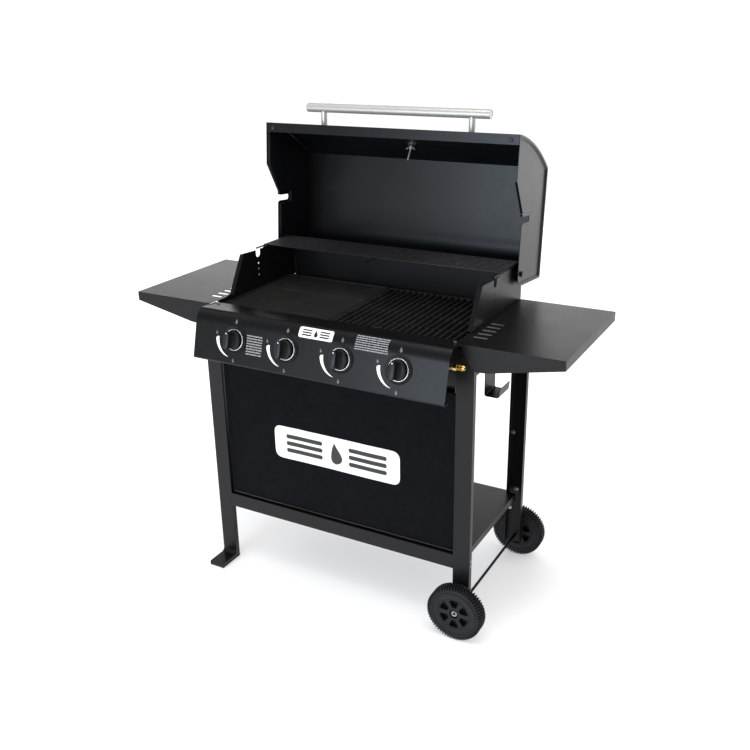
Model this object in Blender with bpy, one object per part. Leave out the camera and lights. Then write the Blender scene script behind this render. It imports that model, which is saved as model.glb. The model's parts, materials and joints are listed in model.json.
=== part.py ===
"""A hooded four-burner gas barbecue on a two-wheeled cart, with side shelves and a warming rack.

Axes: X runs to the right, Y to the back and Z up.  The origin is on the floor, under the middle of
the barbecue as it stands with its hood open.  Everything is drawn about the middle of the leg frame,
and the empty named cart then shifts it along Y onto the origin.
"""
import math

import bmesh
import bpy
from mathutils import Matrix, Vector
from mathutils.geometry import tessellate_polygon

# ---------------------------------------------------------------- driving dimensions, in metres
GAP = 0.0003                 # clearance between pieces that touch
SHEET = 0.0015               # pressed steel sheet
CART_SHIFT_Y = -0.0095       # from the origin to the middle of the leg frame, along Y

FRAME_WIDTH = 0.814          # over the legs
FRAME_DEPTH = 0.396          # over the legs
LEG_WEB = 0.047              # broad face of a leg channel
LEG_FLANGE = 0.016           # depth of a leg channel
LEG_TOP = 0.794
AXLE_LEG_BOTTOM = 0.055      # the legs on the wheel side stop above the floor
FOOT_REACH = 0.068           # a foot runs this far beyond its leg
FOOT_HEIGHT = 0.0146
FOOT_BEND = 0.010            # inner radius where a leg turns out into its foot

WHEEL_RADIUS = 0.0775
WHEEL_WIDTH = 0.038
WHEEL_CLEARANCE = 0.015      # between a wheel and its leg
WHEEL_SPOKES = 6
TYRE_CORNER = 0.006
DISC_INSET = 0.004           # the disc lies this far inside the tyre's faces
WEB_HALF = 0.0015            # half thickness of the web that closes the pockets between the spokes
POCKET_INNER = 0.0195
POCKET_OUTER = 0.041
SPOKE_TRIM = 11              # degrees from a spoke's middle to its pocket
AXLE_X = 0.387
AXLE_RADIUS = 0.004
AXLE_CAP_RADIUS = 0.0076
AXLE_CAP_HEIGHT = 0.006
AXLE_PLAY = 0.001            # between a wheel and its cap
HUB_RECESS = 0.0125          # radius of the recess that holds the axle's cap
HUB_FLOOR = 0.008            # height of the recess's floor over the wheel's middle

RAIL_BOTTOM = 0.182
RAIL_TOP = 0.2238
RAIL_FLANGE = 0.012
SHELF_TOP = 0.2256           # the bottom shelf
SHELF_LIP = 0.020
SHELF_FRONT_INSET = 0.002    # from the legs' front and back faces
SHELF_BACK_INSET = 0.007
SHELF_OVERLAP = 0.0025       # the shelf's side edges pass the axle's place by this

ROD_RADIUS = 0.003           # rods that stretch the fabric panel
ROD_Y = -0.186
BOTTOM_ROD_Z = 0.234
TOP_ROD_Z = 0.672
FABRIC_WIDTH = 0.7146
FABRIC_THICK = 0.0012
FABRIC_TAIL = 0.012          # turned back behind each rod

HOOK_TOP = 0.745             # the gas bottle hook
HOOK_BASE = 0.614
HOOK_SHEET = 0.002
HOOK_BEND = 0.006
HOOK_REACH = 0.041           # out from the firebox
HOOK_TIP_RISE = 0.025
HOOK_HALF = 0.035

BODY_WIDTH = 0.736           # over the firebox sides
BODY_BOTTOM = 0.690
BODY_FRONT = -0.1812
BODY_BACK = 0.1812           # below the step that clears the back legs
BODY_STEP_BACK = 0.210
BODY_STEP_Z = 0.797
BODY_TOP = 0.914
BODY_REAR_RISE = 0.0025      # the sides stand higher where they carry the rack
BODY_REAR_RISE_Y = 0.048
LEAN_TOP = (-0.066, 0.918)               # y, z of the sides' sloped front edge
LEAN_BOTTOM = (-0.124, 0.817)
LEAN_FLANGE = 0.013          # turned inward along the sloped edge
BODY_NOSE = 0.809            # top of the sides at the very front
FRONT_WALL_TOP = 0.8075
REAR_WALL_BOTTOM = 0.700
REAR_WALL_TOP = 0.908
LEDGE = 0.015                # carries the cooking plates
BURNER_MOUTH = 0.012
NOTCH_Y = 0.018              # the notch that carries a roasting spit
NOTCH_HALF = 0.0105
NOTCH_BOTTOM = 0.892
SPIT_HOLES_Z = (0.874, 0.857, 0.840)     # small holes under the notch
SPIT_HOLE_RADIUS = 0.003
PLATE_TOP = 0.803            # hotplate and grill
PLATE_BOTTOM = 0.7866
PLATE_SPLIT_X = -0.020
GRILL_BARS = 20
GRILL_BAR_SHARE = 0.52       # of the pitch
GRILL_ROWS = 2
PLATE_RIM = 0.006
PLATE_WELL = 0.004           # depth of the hotplate inside its rim
PLATE_CLEARANCE = 0.003

TABLE_TOP = 0.8134           # side shelves
TABLE_INNER_X = 0.373
TABLE_OUTER_X = 0.632
TABLE_FRONT = -0.2075
TABLE_BACK = 0.200
SLOT_CENTRES_Y = (-0.143, -0.115, -0.087, -0.059, -0.031)
SLOT_LENGTH = 0.035
SLOT_WIDTH = 0.012
SLOT_MARGIN = 0.008          # from a shelf's inner edge to its slots
TABLE_LIP = (-0.1775, 0.197)  # y: an inner lip that hangs on the firebox's side
TABLE_LIP_DEPTH = 0.014
TABLE_EDGE_BOTTOM = 0.7885   # the outer edge, and where the front and back edges start to deepen
APRON_INNER = (0.4135, 0.7484)           # x, z where the deep edges end by the firebox
APRON_BEND = (0.444, 0.7508)

FASCIA_WIDTH = 0.746
FASCIA_BOTTOM = (-0.294, 0.688)          # y, z of the lower front edge
FASCIA_TILT = math.radians(15.0)         # the flat part leans back this much
FASCIA_FLAT = 0.098                      # length of the flat part, up the slope
FASCIA_BEND = 0.052                      # radius where it curves back above the flat part
FASCIA_BEND_END = 126                    # degrees: the curve's upper end
FASCIA_ROLL = 0.012                      # radius of the rolled top edge
FASCIA_CORNER = 0.005                    # radius of the lower edge
FASCIA_RETURN = 0.024                    # depth of the lower return
STEM_HOLE = 0.007

KNOB_SPACING = 0.1622
KNOB_FIRST_X = -0.2415
KNOB_Z = 0.750
KNOB_COUNT = 4
BEZEL_RADIUS = 0.0366
BEZEL_THICK = 0.003
RING_INNER = 0.0262          # bright ring on the bezel
RING_OUTER = 0.0284
RING_RISE = 0.0015
KNOB_RADIUS = 0.0245
KNOB_BACK = 0.0078           # height of the knob's skirt over the fascia: clears the bezel when pressed
KNOB_SKIRT = 0.0065          # thickness of the skirt
KNOB_TOP = 0.040             # height of the grip over the fascia
GRIP_HALF_LENGTH = 0.0226
GRIP_TOP_HALF = 0.0075       # half thickness of the grip at its top
GRIP_WAIST_HALF = 0.0080     # and where its foot starts to flare
GRIP_WAIST = 0.025           # height of that place over the fascia
GRIP_FOOT_HALF = 0.0140      # half thickness where it meets the skirt
STEM_RADIUS = 0.004
STEM_TOP = 0.030

MANIFOLD_Y = -0.2215
MANIFOLD_Z = 0.760
MANIFOLD_RADIUS = 0.009
MANIFOLD_INSET = 0.010       # its right end lies this far inside the fascia's
BURNER_Z = 0.736
BURNER_FRONT = -0.212
BURNER_BACK = 0.170
BURNER_RADIUS = 0.015
TAMERS = (("left", -0.150), ("right", 0.170))
TAMER_SPAN = 0.264
TAMER_FOLDS = 6
TAMER_HIGH = 0.775
TAMER_LOW = 0.762
TAMER_SHEET = 0.001
TAMER_INSET = 0.006

HOOD_WIDTH = 0.765           # over the hood's side panels
HINGE_Y = 0.1646
HINGE_Z = 0.893
HOOD_LEAN = math.radians(5.09)           # the open hood leans back this much
LIP_TOP = (-0.079, 0.361)                # front upper corner, from the hinge, y and z
CREST_BACK = (0.153, 0.268)              # where the curved top meets the back
HEEL = (0.1555, -0.033)                  # lower back corner
CREST_RISE = 0.0165                      # height of the curved top over its chord
LIP_DEPTH = 0.026
VENT_EDGE_Y = 0.050          # the shell's lower return runs forward to here
HINGE_BORE = 0.0043
DIAL_BORE = 0.0045
HANDLE_CENTRE = (-0.0207, 0.405)
HANDLE_RADIUS = 0.0125
HANDLE_HALF = 0.278
POST_X = 0.2256
POST_RADIUS = 0.009
DIAL_Y = 0.086               # the thermometer, along the curved top
DIAL_RADIUS = 0.030

RACK_FRONT = 0.055
RACK_BACK = 0.175
RACK_WIRE = 0.0025
RACK_WIRES = 11
RACK_HALF = 0.3705
RACK_OVERHANG = 0.004        # the bearers pass the first and last wires

TRAY_HALF = 0.3435
TRAY_BOTTOM = 0.664
TRAY_FRONT = -0.165
TRAY_BACK = 0.176
TRAY_RIM = 0.013
RUNNER_TOP = 0.712
PULL_HALF = 0.060
PULL_REACH = 0.022

SIDES = (("left", -1), ("right", 1))


# ---------------------------------------------------------------- clearing and finishes
def clear_scene():
    for piece in list(bpy.data.objects):
        bpy.data.objects.remove(piece, do_unlink=True)


def finish(name, colour, roughness, metallic=0.0):
    """A plain material with one colour."""
    made = bpy.data.materials.new(name)
    made.use_nodes = True
    shader = made.node_tree.nodes["Principled BSDF"]
    shader.inputs["Base Color"].default_value = (*colour, 1.0)
    shader.inputs["Roughness"].default_value = roughness
    shader.inputs["Metallic"].default_value = metallic
    return made


# ---------------------------------------------------------------- shapes
def arc(centre, radius, start, end, steps):
    """Points on a circle from one angle to another, in degrees, both ends included."""
    points = []
    for step in range(steps + 1):
        angle = math.radians(start + (end - start) * step / steps)
        points.append((centre[0] + radius * math.cos(angle), centre[1] + radius * math.sin(angle)))
    return points


def circle(centre, radius, count=16):
    return arc(centre, radius, 0, 360, count)[:-1]


def bowed(start, end, rise, steps):
    """Points on the arc over a chord, which it passes at the given height on the chord's left."""
    first = Vector(start)
    last = Vector(end)
    chord = (last - first).length
    radius = chord * chord / (8 * rise) + rise / 2
    along = (last - first).normalized()
    left = Vector((-along.y, along.x))
    centre = (first + last) / 2 - left * (radius - rise)
    half = math.degrees(math.asin(chord / 2 / radius))
    middle = math.degrees(math.atan2(left.y, left.x))
    return arc(centre, radius, middle + half, middle - half, steps)


def sheet_outline(path, thickness):
    """Outline of a bent sheet: its outer face, and that face moved to its left by the thickness."""
    points = [Vector(point) for point in path]
    moved = []
    for index, point in enumerate(points):
        before = points[max(index - 1, 0)]
        after = points[min(index + 1, len(points) - 1)]
        arriving = (point - before).normalized() if index else (after - point).normalized()
        leaving = (after - point).normalized() if index < len(points) - 1 else arriving
        mean = (arriving + leaving).normalized()
        left = Vector((-mean.y, mean.x))
        reach = thickness / max(0.4, left.dot(Vector((-leaving.y, leaving.x))))
        moved.append(point + left * reach)
    return [tuple(point) for point in points] + [tuple(point) for point in reversed(moved)]


def prism(outline, low, high, axis="x", holes=()):
    """A closed solid: an outline with holes, swept straight from low to high along one axis."""
    places = {
        "x": lambda a, b, w: (w, a, b),
        "y": lambda a, b, w: (a, w, b),
        "z": lambda a, b, w: (a, b, w),
    }
    place = places[axis]
    loops = [list(outline)] + [list(hole) for hole in holes]
    flat = [point for loop in loops for point in loop]
    shape = bmesh.new()
    near = [shape.verts.new(place(a, b, low)) for a, b in flat]
    far = [shape.verts.new(place(a, b, high)) for a, b in flat]
    if holes:
        for i, j, k in tessellate_polygon([[Vector((a, b, 0)) for a, b in loop] for loop in loops]):
            shape.faces.new((near[i], near[j], near[k]))
            shape.faces.new((far[k], far[j], far[i]))
    else:
        shape.faces.new(near)
        shape.faces.new(list(reversed(far)))
    start = 0
    for loop in loops:
        for step in range(len(loop)):
            i = start + step
            j = start + (step + 1) % len(loop)
            shape.faces.new((near[i], near[j], far[j], far[i]))
        start += len(loop)
    bmesh.ops.recalc_face_normals(shape, faces=shape.faces)
    return shape


def block(low, high):
    """A box between two corners."""
    outline = [(low[0], low[1]), (high[0], low[1]), (high[0], high[1]), (low[0], high[1])]
    return prism(outline, low[2], high[2], "z")


def turned(profile, segments, closed=False):
    """A solid turned about Z from (radius, height) points: from pole to pole, or a closed section."""
    shape = bmesh.new()
    rings = []
    for radius, height in profile:
        if radius < 1e-7:
            rings.append([shape.verts.new((0, 0, height))])
            continue
        ring = []
        for step in range(segments):
            angle = 2 * math.pi * step / segments
            ring.append(shape.verts.new((radius * math.cos(angle), radius * math.sin(angle), height)))
        rings.append(ring)
    pairs = list(zip(rings, rings[1:]))
    if closed:
        pairs.append((rings[-1], rings[0]))
    for one, other in pairs:
        for step in range(segments):
            after = (step + 1) % segments
            corners = [one[step % len(one)], one[after % len(one)]]
            corners += [other[after % len(other)], other[step % len(other)]]
            unique = list(dict.fromkeys(corners))
            if len(unique) > 2:
                shape.faces.new(unique)
    bmesh.ops.recalc_face_normals(shape, faces=shape.faces)
    return shape


def rod(start, end, radius, segments=8):
    """A round bar between two points."""
    first = Vector(start)
    last = Vector(end)
    length = (last - first).length
    shape = turned([(0, 0), (radius, 0), (radius, length), (0, length)], segments)
    turn = Vector((0, 0, 1)).rotation_difference(last - first).to_matrix().to_4x4()
    shape.transform(Matrix.Translation(first) @ turn)
    return shape


def moved(shape, offset=(0, 0, 0), turn=None):
    """The same shape, turned and then shifted."""
    matrix = Matrix.Translation(offset)
    if turn is not None:
        matrix = matrix @ turn
    shape.transform(matrix)
    return shape


def perforated(low, high, holes):
    """A flat plate between two corners, with rectangular holes given as (x0, x1, y0, y1)."""
    columns = sorted({low[0], high[0]} | {x for hole in holes for x in hole[:2]})
    rows = sorted({low[1], high[1]} | {y for hole in holes for y in hole[2:]})
    shape = bmesh.new()
    corners = {}

    def corner(x, y, z):
        if (x, y, z) not in corners:
            corners[(x, y, z)] = shape.verts.new((x, y, z))
        return corners[(x, y, z)]

    def solid(column, row):
        if not (0 <= column < len(columns) - 1 and 0 <= row < len(rows) - 1):
            return False
        x = (columns[column] + columns[column + 1]) / 2
        y = (rows[row] + rows[row + 1]) / 2
        return not any(x0 < x < x1 and y0 < y < y1 for x0, x1, y0, y1 in holes)

    def wall(x0, y0, x1, y1):
        shape.faces.new((corner(x0, y0, low[2]), corner(x1, y1, low[2]),
                         corner(x1, y1, high[2]), corner(x0, y0, high[2])))

    for column in range(len(columns) - 1):
        for row in range(len(rows) - 1):
            if not solid(column, row):
                continue
            x0, x1 = columns[column], columns[column + 1]
            y0, y1 = rows[row], rows[row + 1]
            for z in (low[2], high[2]):
                shape.faces.new([corner(x, y, z) for x, y in ((x0, y0), (x1, y0), (x1, y1), (x0, y1))])
            if not solid(column - 1, row):
                wall(x0, y0, x0, y1)
            if not solid(column + 1, row):
                wall(x1, y0, x1, y1)
            if not solid(column, row - 1):
                wall(x0, y0, x1, y0)
            if not solid(column, row + 1):
                wall(x0, y1, x1, y1)
    bmesh.ops.recalc_face_normals(shape, faces=shape.faces)
    return shape


# ---------------------------------------------------------------- objects
def as_mesh(shape, name):
    mesh = bpy.data.meshes.new(name)
    shape.to_mesh(mesh)
    shape.free()
    return mesh


def joined(shapes, name, operation="UNION"):
    """One mesh: the first shape with each of the others united with it or cut from it."""
    base = bpy.data.objects.new(name + "_base", as_mesh(shapes[0], name + "_base"))
    bpy.context.scene.collection.objects.link(base)
    helpers = [base]
    for index, shape in enumerate(shapes[1:]):
        helper = bpy.data.objects.new(name + "_tool", as_mesh(shape, name + "_tool"))
        bpy.context.scene.collection.objects.link(helper)
        helpers.append(helper)
        step = base.modifiers.new(f"step_{index}", "BOOLEAN")
        step.operation = operation
        step.object = helper
    depsgraph = bpy.context.evaluated_depsgraph_get()
    result = bpy.data.meshes.new_from_object(base.evaluated_get(depsgraph))
    for helper in helpers:
        bpy.data.objects.remove(helper, do_unlink=True)
    made = bmesh.new()
    made.from_mesh(result)
    bpy.data.meshes.remove(result)
    return made


def piece(name, shape, coat, parent, location=(0, 0, 0), turn=(0, 0, 0), smooth=False):
    """A named sub-part with its own material, placed under its parent."""
    mesh = as_mesh(shape, name)
    mesh.materials.clear()
    mesh.materials.append(coat)
    if smooth:
        mesh.shade_smooth()
        mesh.set_sharp_from_angle(angle=math.radians(35))
    made = bpy.data.objects.new(name, mesh)
    bpy.context.scene.collection.objects.link(made)
    made.parent = parent
    made.location = location
    made.rotation_euler = turn
    return made


def station(name, parent=None, location=(0, 0, 0), turn=(0, 0, 0)):
    """An empty that holds the pieces drawn about one point or axis."""
    made = bpy.data.objects.new(name, None)
    bpy.context.scene.collection.objects.link(made)
    made.parent = parent
    made.location = location
    made.rotation_euler = turn
    return made


# ---------------------------------------------------------------- cart
def channel(x_inner, x_outer, face, inward):
    """Section of a leg: a broad face at y = face, and two flanges that run inward."""
    step = SHEET * inward
    tip = face + LEG_FLANGE * inward
    side = SHEET if x_outer > x_inner else -SHEET
    return [
        (x_outer, face), (x_outer, tip), (x_outer - side, tip), (x_outer - side, face + step),
        (x_inner + side, face + step), (x_inner + side, tip), (x_inner, tip), (x_inner, face),
    ]


def leg(end, side, bottom):
    """A leg channel at the front (end -1) or back (end 1), on the left (side -1) or right."""
    outer = side * FRAME_WIDTH / 2
    inner = side * (FRAME_WIDTH / 2 - LEG_WEB)
    face = end * FRAME_DEPTH / 2
    return prism(channel(inner, outer, face, -end), bottom, LEG_TOP, "z")


def foot(end):
    """The channel bent out flat along the floor, below a left leg."""
    outer = -FRAME_WIDTH / 2
    inner = outer + LEG_WEB
    near = end * (FRAME_DEPTH / 2 - SHEET)
    far = end * (FRAME_DEPTH / 2 + FOOT_REACH)
    section = [
        (outer, 0), (outer, FOOT_HEIGHT), (inner, FOOT_HEIGHT), (inner, 0),
        (inner - SHEET, 0), (inner - SHEET, FOOT_HEIGHT - SHEET),
        (outer + SHEET, FOOT_HEIGHT - SHEET), (outer + SHEET, 0),
    ]
    return prism(section, min(near, far), max(near, far), "y")


def foot_gusset(end):
    """Fills the curve between a leg's broad face and the top of its foot."""
    outer = -FRAME_WIDTH / 2
    wall = FRAME_DEPTH / 2 - SHEET
    top = FOOT_HEIGHT - SHEET
    centre = (wall + SHEET + FOOT_BEND, FOOT_HEIGHT + FOOT_BEND)
    curve = arc(centre, FOOT_BEND, 180, 270, 5)
    outline = [(wall, top), (wall, centre[1])] + curve + [(centre[0], top)]
    outline = [(end * y, z) for y, z in outline]
    return prism(outline, outer, outer + LEG_WEB)


def axle_cutter(y):
    return rod((AXLE_X, y - 0.01, WHEEL_RADIUS), (AXLE_X, y + 0.01, WHEEL_RADIUS), AXLE_RADIUS + GAP, 16)


def make_legs(cart, paint):
    for end_name, end in (("front", -1), ("rear", 1)):
        left = joined([leg(end, -1, 0.0), foot(end), foot_gusset(end)], "leg")
        piece(f"leg_{end_name}_left", left, paint, cart)
        face = end * (FRAME_DEPTH / 2 - SHEET / 2)
        right = joined([leg(end, 1, AXLE_LEG_BOTTOM), axle_cutter(face)], "leg", "DIFFERENCE")
        piece(f"leg_{end_name}_right", right, paint, cart)


def make_lower_frame(cart, paint, plated):
    reach = FRAME_WIDTH / 2 - LEG_WEB - GAP
    face = -FRAME_DEPTH / 2
    back_edge = face + RAIL_FLANGE
    rail_path = [(back_edge, RAIL_BOTTOM), (face, RAIL_BOTTOM), (face, RAIL_TOP), (back_edge, RAIL_TOP)]
    rail = sheet_outline(list(reversed(rail_path)), SHEET)
    piece("front_rail", prism(rail, -reach, reach), paint, cart)

    bottom = SHELF_TOP - SHEET
    legs_inner = FRAME_DEPTH / 2 - LEG_FLANGE - 2 * GAP
    wide = AXLE_X + SHELF_OVERLAP
    front = face + SHELF_FRONT_INSET
    back = FRAME_DEPTH / 2 - SHELF_BACK_INSET
    top = [
        (-reach, front), (reach, front), (reach, -legs_inner), (wide, -legs_inner), (wide, legs_inner),
        (reach, legs_inner), (reach, back), (-reach, back), (-reach, legs_inner), (-wide, legs_inner),
        (-wide, -legs_inner), (-reach, -legs_inner),
    ]
    hem = SHELF_TOP - SHELF_LIP
    edges = [block((-reach, back - SHEET, hem), (reach, back, SHELF_TOP - SHEET / 2))]
    for side in (-1, 1):
        x0, x1 = sorted((side * wide, side * (wide - SHEET)))
        edges.append(block((x0, -legs_inner, hem), (x1, legs_inner, SHELF_TOP - SHEET / 2)))
    shelf = joined([prism(top, bottom, SHELF_TOP, "z")] + edges, "bottom_shelf")
    piece("bottom_shelf", shelf, paint, cart)

    cap = AXLE_CAP_RADIUS
    half = FRAME_DEPTH / 2 + WHEEL_CLEARANCE + WHEEL_WIDTH / 2 + HUB_FLOOR + AXLE_PLAY
    head = AXLE_CAP_HEIGHT
    profile = [
        (0, -half - head), (cap * 0.7, -half - head), (cap, -half - head / 2), (cap, -half),
        (AXLE_RADIUS, -half), (AXLE_RADIUS, half), (cap, half), (cap, half + head / 2),
        (cap * 0.7, half + head), (0, half + head),
    ]
    quarter = math.radians(90)
    piece("axle", turned(profile, 20), plated, cart, (AXLE_X, 0, WHEEL_RADIUS), (quarter, 0, 0), True)


def wheel_shape():
    """Tyre, disc and hub in one moulding, turned about Z, with six pockets between wide spokes."""
    half = WHEEL_WIDTH / 2
    corner = TYRE_CORNER
    disc = half - DISC_INSET
    seam = POCKET_OUTER + 0.010
    bore = AXLE_RADIUS + GAP
    pitch = 360 / WHEEL_SPOKES
    pockets = []
    for spoke in range(WHEEL_SPOKES):
        start = spoke * pitch + SPOKE_TRIM
        end = (spoke + 1) * pitch - SPOKE_TRIM
        outer = arc((0, 0), POCKET_OUTER, start - 1, end + 1, 4)
        inner = arc((0, 0), POCKET_INNER, end - 3, start + 3, 2)
        pockets.append(outer + inner)
    spokes = prism(circle((0, 0), seam, 24), -disc, disc, "z", pockets)
    web = turned([(0, -WEB_HALF), (seam - 0.002, -WEB_HALF), (seam - 0.002, WEB_HALF), (0, WEB_HALF)], 24)
    tyre = turned([
        (seam - 0.003, -half + corner / 2), (WHEEL_RADIUS - corner, -half), (WHEEL_RADIUS, -half + corner),
        (WHEEL_RADIUS, half - corner), (WHEEL_RADIUS - corner, half), (seam - 0.003, half - corner / 2),
    ], 32, closed=True)
    body = joined([spokes, web, tyre], "wheel")
    beyond = half + 0.01
    shaft = turned([
        (0, -beyond), (HUB_RECESS, -beyond), (HUB_RECESS, -HUB_FLOOR), (bore, -HUB_FLOOR),
        (bore, HUB_FLOOR), (HUB_RECESS, HUB_FLOOR), (HUB_RECESS, beyond), (0, beyond),
    ], 24)
    return joined([body, shaft], "wheel", "DIFFERENCE")


def make_wheels(cart, plastic):
    quarter = math.radians(90)
    y = FRAME_DEPTH / 2 + WHEEL_CLEARANCE + WHEEL_WIDTH / 2
    piece("wheel_front", wheel_shape(), plastic, cart, (AXLE_X, -y, WHEEL_RADIUS), (quarter, 0, 0), True)
    piece("wheel_rear", wheel_shape(), plastic, cart, (AXLE_X, y, WHEEL_RADIUS), (-quarter, 0, 0), True)


def make_fabric(cart, fabric, plated):
    reach = FRAME_WIDTH / 2 - LEG_WEB - GAP
    for name, z in (("fabric_bottom_rod", BOTTOM_ROD_Z), ("fabric_top_rod", TOP_ROD_Z)):
        piece(name, rod((-reach, ROD_Y, z), (reach, ROD_Y, z), ROD_RADIUS, 12), plated, cart, smooth=True)
    bend = ROD_RADIUS + GAP + FABRIC_THICK
    below = arc((ROD_Y, BOTTOM_ROD_Z), bend, 0, -180, 8)
    above = arc((ROD_Y, TOP_ROD_Z), bend, 180, 0, 8)
    behind = ROD_Y + bend
    path = [(behind, BOTTOM_ROD_Z + FABRIC_TAIL)] + below + above
    path.append((behind, TOP_ROD_Z - FABRIC_TAIL))
    half = FABRIC_WIDTH / 2
    cloth = prism(sheet_outline(list(reversed(path)), FABRIC_THICK), -half, half)
    piece("fabric_panel", cloth, fabric, cart)


def make_bottle_hook(cart, paint):
    """A steel strip bent to a J, on the right side of the firebox."""
    wall = BODY_WIDTH / 2 + GAP
    centre_z = HOOK_BASE + HOOK_BEND
    path = [(wall, HOOK_TOP)]
    path += arc((wall + HOOK_BEND, centre_z), HOOK_BEND, 180, 270, 4)
    path += arc((wall + HOOK_REACH - HOOK_BEND, centre_z), HOOK_BEND, 270, 365, 4)
    path += [(wall + HOOK_REACH + HOOK_SHEET, HOOK_BASE + HOOK_TIP_RISE)]
    hook = prism(sheet_outline(path, HOOK_SHEET), -HOOK_HALF, HOOK_HALF, "y")
    piece("bottle_hook", hook, paint, cart)


# ---------------------------------------------------------------- firebox
def spit_notch():
    """The round-bottomed notch in the top edge of a firebox side, from back to front."""
    low = NOTCH_BOTTOM + NOTCH_HALF
    return arc((NOTCH_Y, low), NOTCH_HALF, 0, -180, 8)


def make_firebox(cart, paint):
    rear_top = BODY_TOP + BODY_REAR_RISE
    outline = [
        (BODY_FRONT, BODY_BOTTOM), (BODY_BACK, BODY_BOTTOM), (BODY_BACK, BODY_STEP_Z),
        (BODY_STEP_BACK, BODY_STEP_Z), (BODY_STEP_BACK, rear_top), (BODY_REAR_RISE_Y, rear_top),
        (BODY_REAR_RISE_Y - 0.003, BODY_TOP), (NOTCH_Y + NOTCH_HALF, BODY_TOP),
    ]
    outline += spit_notch()
    outline += [(NOTCH_Y - NOTCH_HALF, BODY_TOP), LEAN_TOP, LEAN_BOTTOM, (BODY_FRONT, BODY_NOSE)]
    holes = [circle((NOTCH_Y, z), SPIT_HOLE_RADIUS, 8) for z in SPIT_HOLES_Z]
    holes.append(circle((HINGE_Y, HINGE_Z), HINGE_BORE, 16))
    slope = sheet_outline([LEAN_TOP, LEAN_BOTTOM], SHEET)
    for name, side in SIDES:
        outer = side * BODY_WIDTH / 2
        inner = side * (BODY_WIDTH / 2 - SHEET)
        tip = side * (BODY_WIDTH / 2 - LEAN_FLANGE)
        wall = prism(outline, min(outer, inner), max(outer, inner), "x", holes)
        return_edge = prism(slope, min(outer, tip), max(outer, tip))
        piece(f"firebox_side_{name}", joined([wall, return_edge], "side"), paint, cart)

    half = BODY_WIDTH / 2 - SHEET - GAP
    ledge_low = PLATE_BOTTOM - GAP - SHEET
    ledge_high = PLATE_BOTTOM - GAP
    wall_outline = [
        (-half, BODY_BOTTOM), (half, BODY_BOTTOM), (half, FRONT_WALL_TOP), (-half, FRONT_WALL_TOP),
    ]
    mouths = [circle((x, BURNER_Z), BURNER_MOUTH, 16) for x in knob_places()]
    front = prism(wall_outline, BODY_FRONT, BODY_FRONT + SHEET, "y", mouths)
    ledge = block((-half, BODY_FRONT + SHEET / 2, ledge_low), (half, BODY_FRONT + LEDGE, ledge_high))
    piece("firebox_front_wall", joined([front, ledge], "front"), paint, cart)

    step_z = BODY_STEP_Z - SHEET
    back_y = BODY_STEP_BACK - SHEET
    path = [(BODY_BACK, REAR_WALL_BOTTOM), (BODY_BACK, step_z), (back_y, step_z), (back_y, REAR_WALL_TOP)]
    back = prism(sheet_outline(path, SHEET), -half, half)
    ledge = block((-half, BODY_BACK - LEDGE, ledge_low), (half, BODY_BACK - SHEET / 2, ledge_high))
    piece("firebox_rear_wall", joined([back, ledge], "back"), paint, cart)


def make_cooking_plates(cart, iron):
    half = BODY_WIDTH / 2 - SHEET - 0.002
    front = BODY_FRONT + SHEET + PLATE_CLEARANCE
    back = -front
    rim = PLATE_RIM
    split = PLATE_SPLIT_X - 0.001
    plate = block((-half, front, PLATE_BOTTOM), (split, back, PLATE_TOP))
    well = block((-half + rim, front + rim, PLATE_TOP - PLATE_WELL),
                 (split - rim, back - rim, PLATE_TOP + 0.01))
    drain = block((-half / 2 - 0.035, front + 0.014, PLATE_BOTTOM - 0.01),
                  (-half / 2 + 0.015, front + 0.024, PLATE_TOP + 0.01))
    piece("hotplate", joined([plate, well, drain], "hotplate", "DIFFERENCE"), iron, cart)

    left = PLATE_SPLIT_X + 0.001
    pitch = (half - left) / GRILL_BARS
    bar = pitch * GRILL_BAR_SHARE
    row_pitch = (back - front - rim) / GRILL_ROWS
    holes = []
    for column in range(GRILL_BARS - 1):
        x0 = left + pitch * (column + 0.5) + bar / 2
        x1 = left + pitch * (column + 1.5) - bar / 2
        for row in range(GRILL_ROWS):
            y0 = front + rim + row * row_pitch
            holes.append((x0, x1, y0, y0 + row_pitch - rim))
    grill = perforated((left, front, PLATE_BOTTOM), (half, back, PLATE_TOP), holes)
    piece("grill", grill, iron, cart)


def make_flame_tamers(cart, steel):
    """A folded sheet over each pair of burners."""
    front = BODY_FRONT + TAMER_INSET
    back = BODY_BACK - TAMER_INSET
    for name, centre in TAMERS:
        path = []
        for fold in range(TAMER_FOLDS + 1):
            x = centre - TAMER_SPAN / 2 + TAMER_SPAN * fold / TAMER_FOLDS
            path.append((x, TAMER_HIGH if fold % 2 else TAMER_LOW))
        sheet = prism(sheet_outline(list(reversed(path)), TAMER_SHEET), front, back, "y")
        piece(f"flame_tamer_{name}", sheet, steel, cart)


def make_burners(cart, steel):
    mouth = BURNER_FRONT
    end = BURNER_BACK
    wide = BURNER_RADIUS
    profile = [
        (0, mouth + 0.045), (0.0075, mouth + 0.045), (0.0085, mouth), (0.0100, mouth),
        (0.0100, mouth + 0.044), (wide, mouth + 0.062), (wide, end - 0.006), (0.0110, end), (0, end),
    ]
    turn = Matrix.Rotation(math.radians(-90), 4, "X")
    for index, x in enumerate(knob_places()):
        tube = moved(turned(profile, 16), (x, 0, BURNER_Z), turn)
        piece(f"burner_{index + 1}", tube, steel, cart, smooth=True)


# ---------------------------------------------------------------- control panel
def knob_places():
    return [KNOB_FIRST_X + KNOB_SPACING * index for index in range(KNOB_COUNT)]


def fascia_face(z):
    """Y of the fascia's flat part at a height."""
    return FASCIA_BOTTOM[0] + (z - FASCIA_BOTTOM[1]) * math.tan(FASCIA_TILT)


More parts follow.
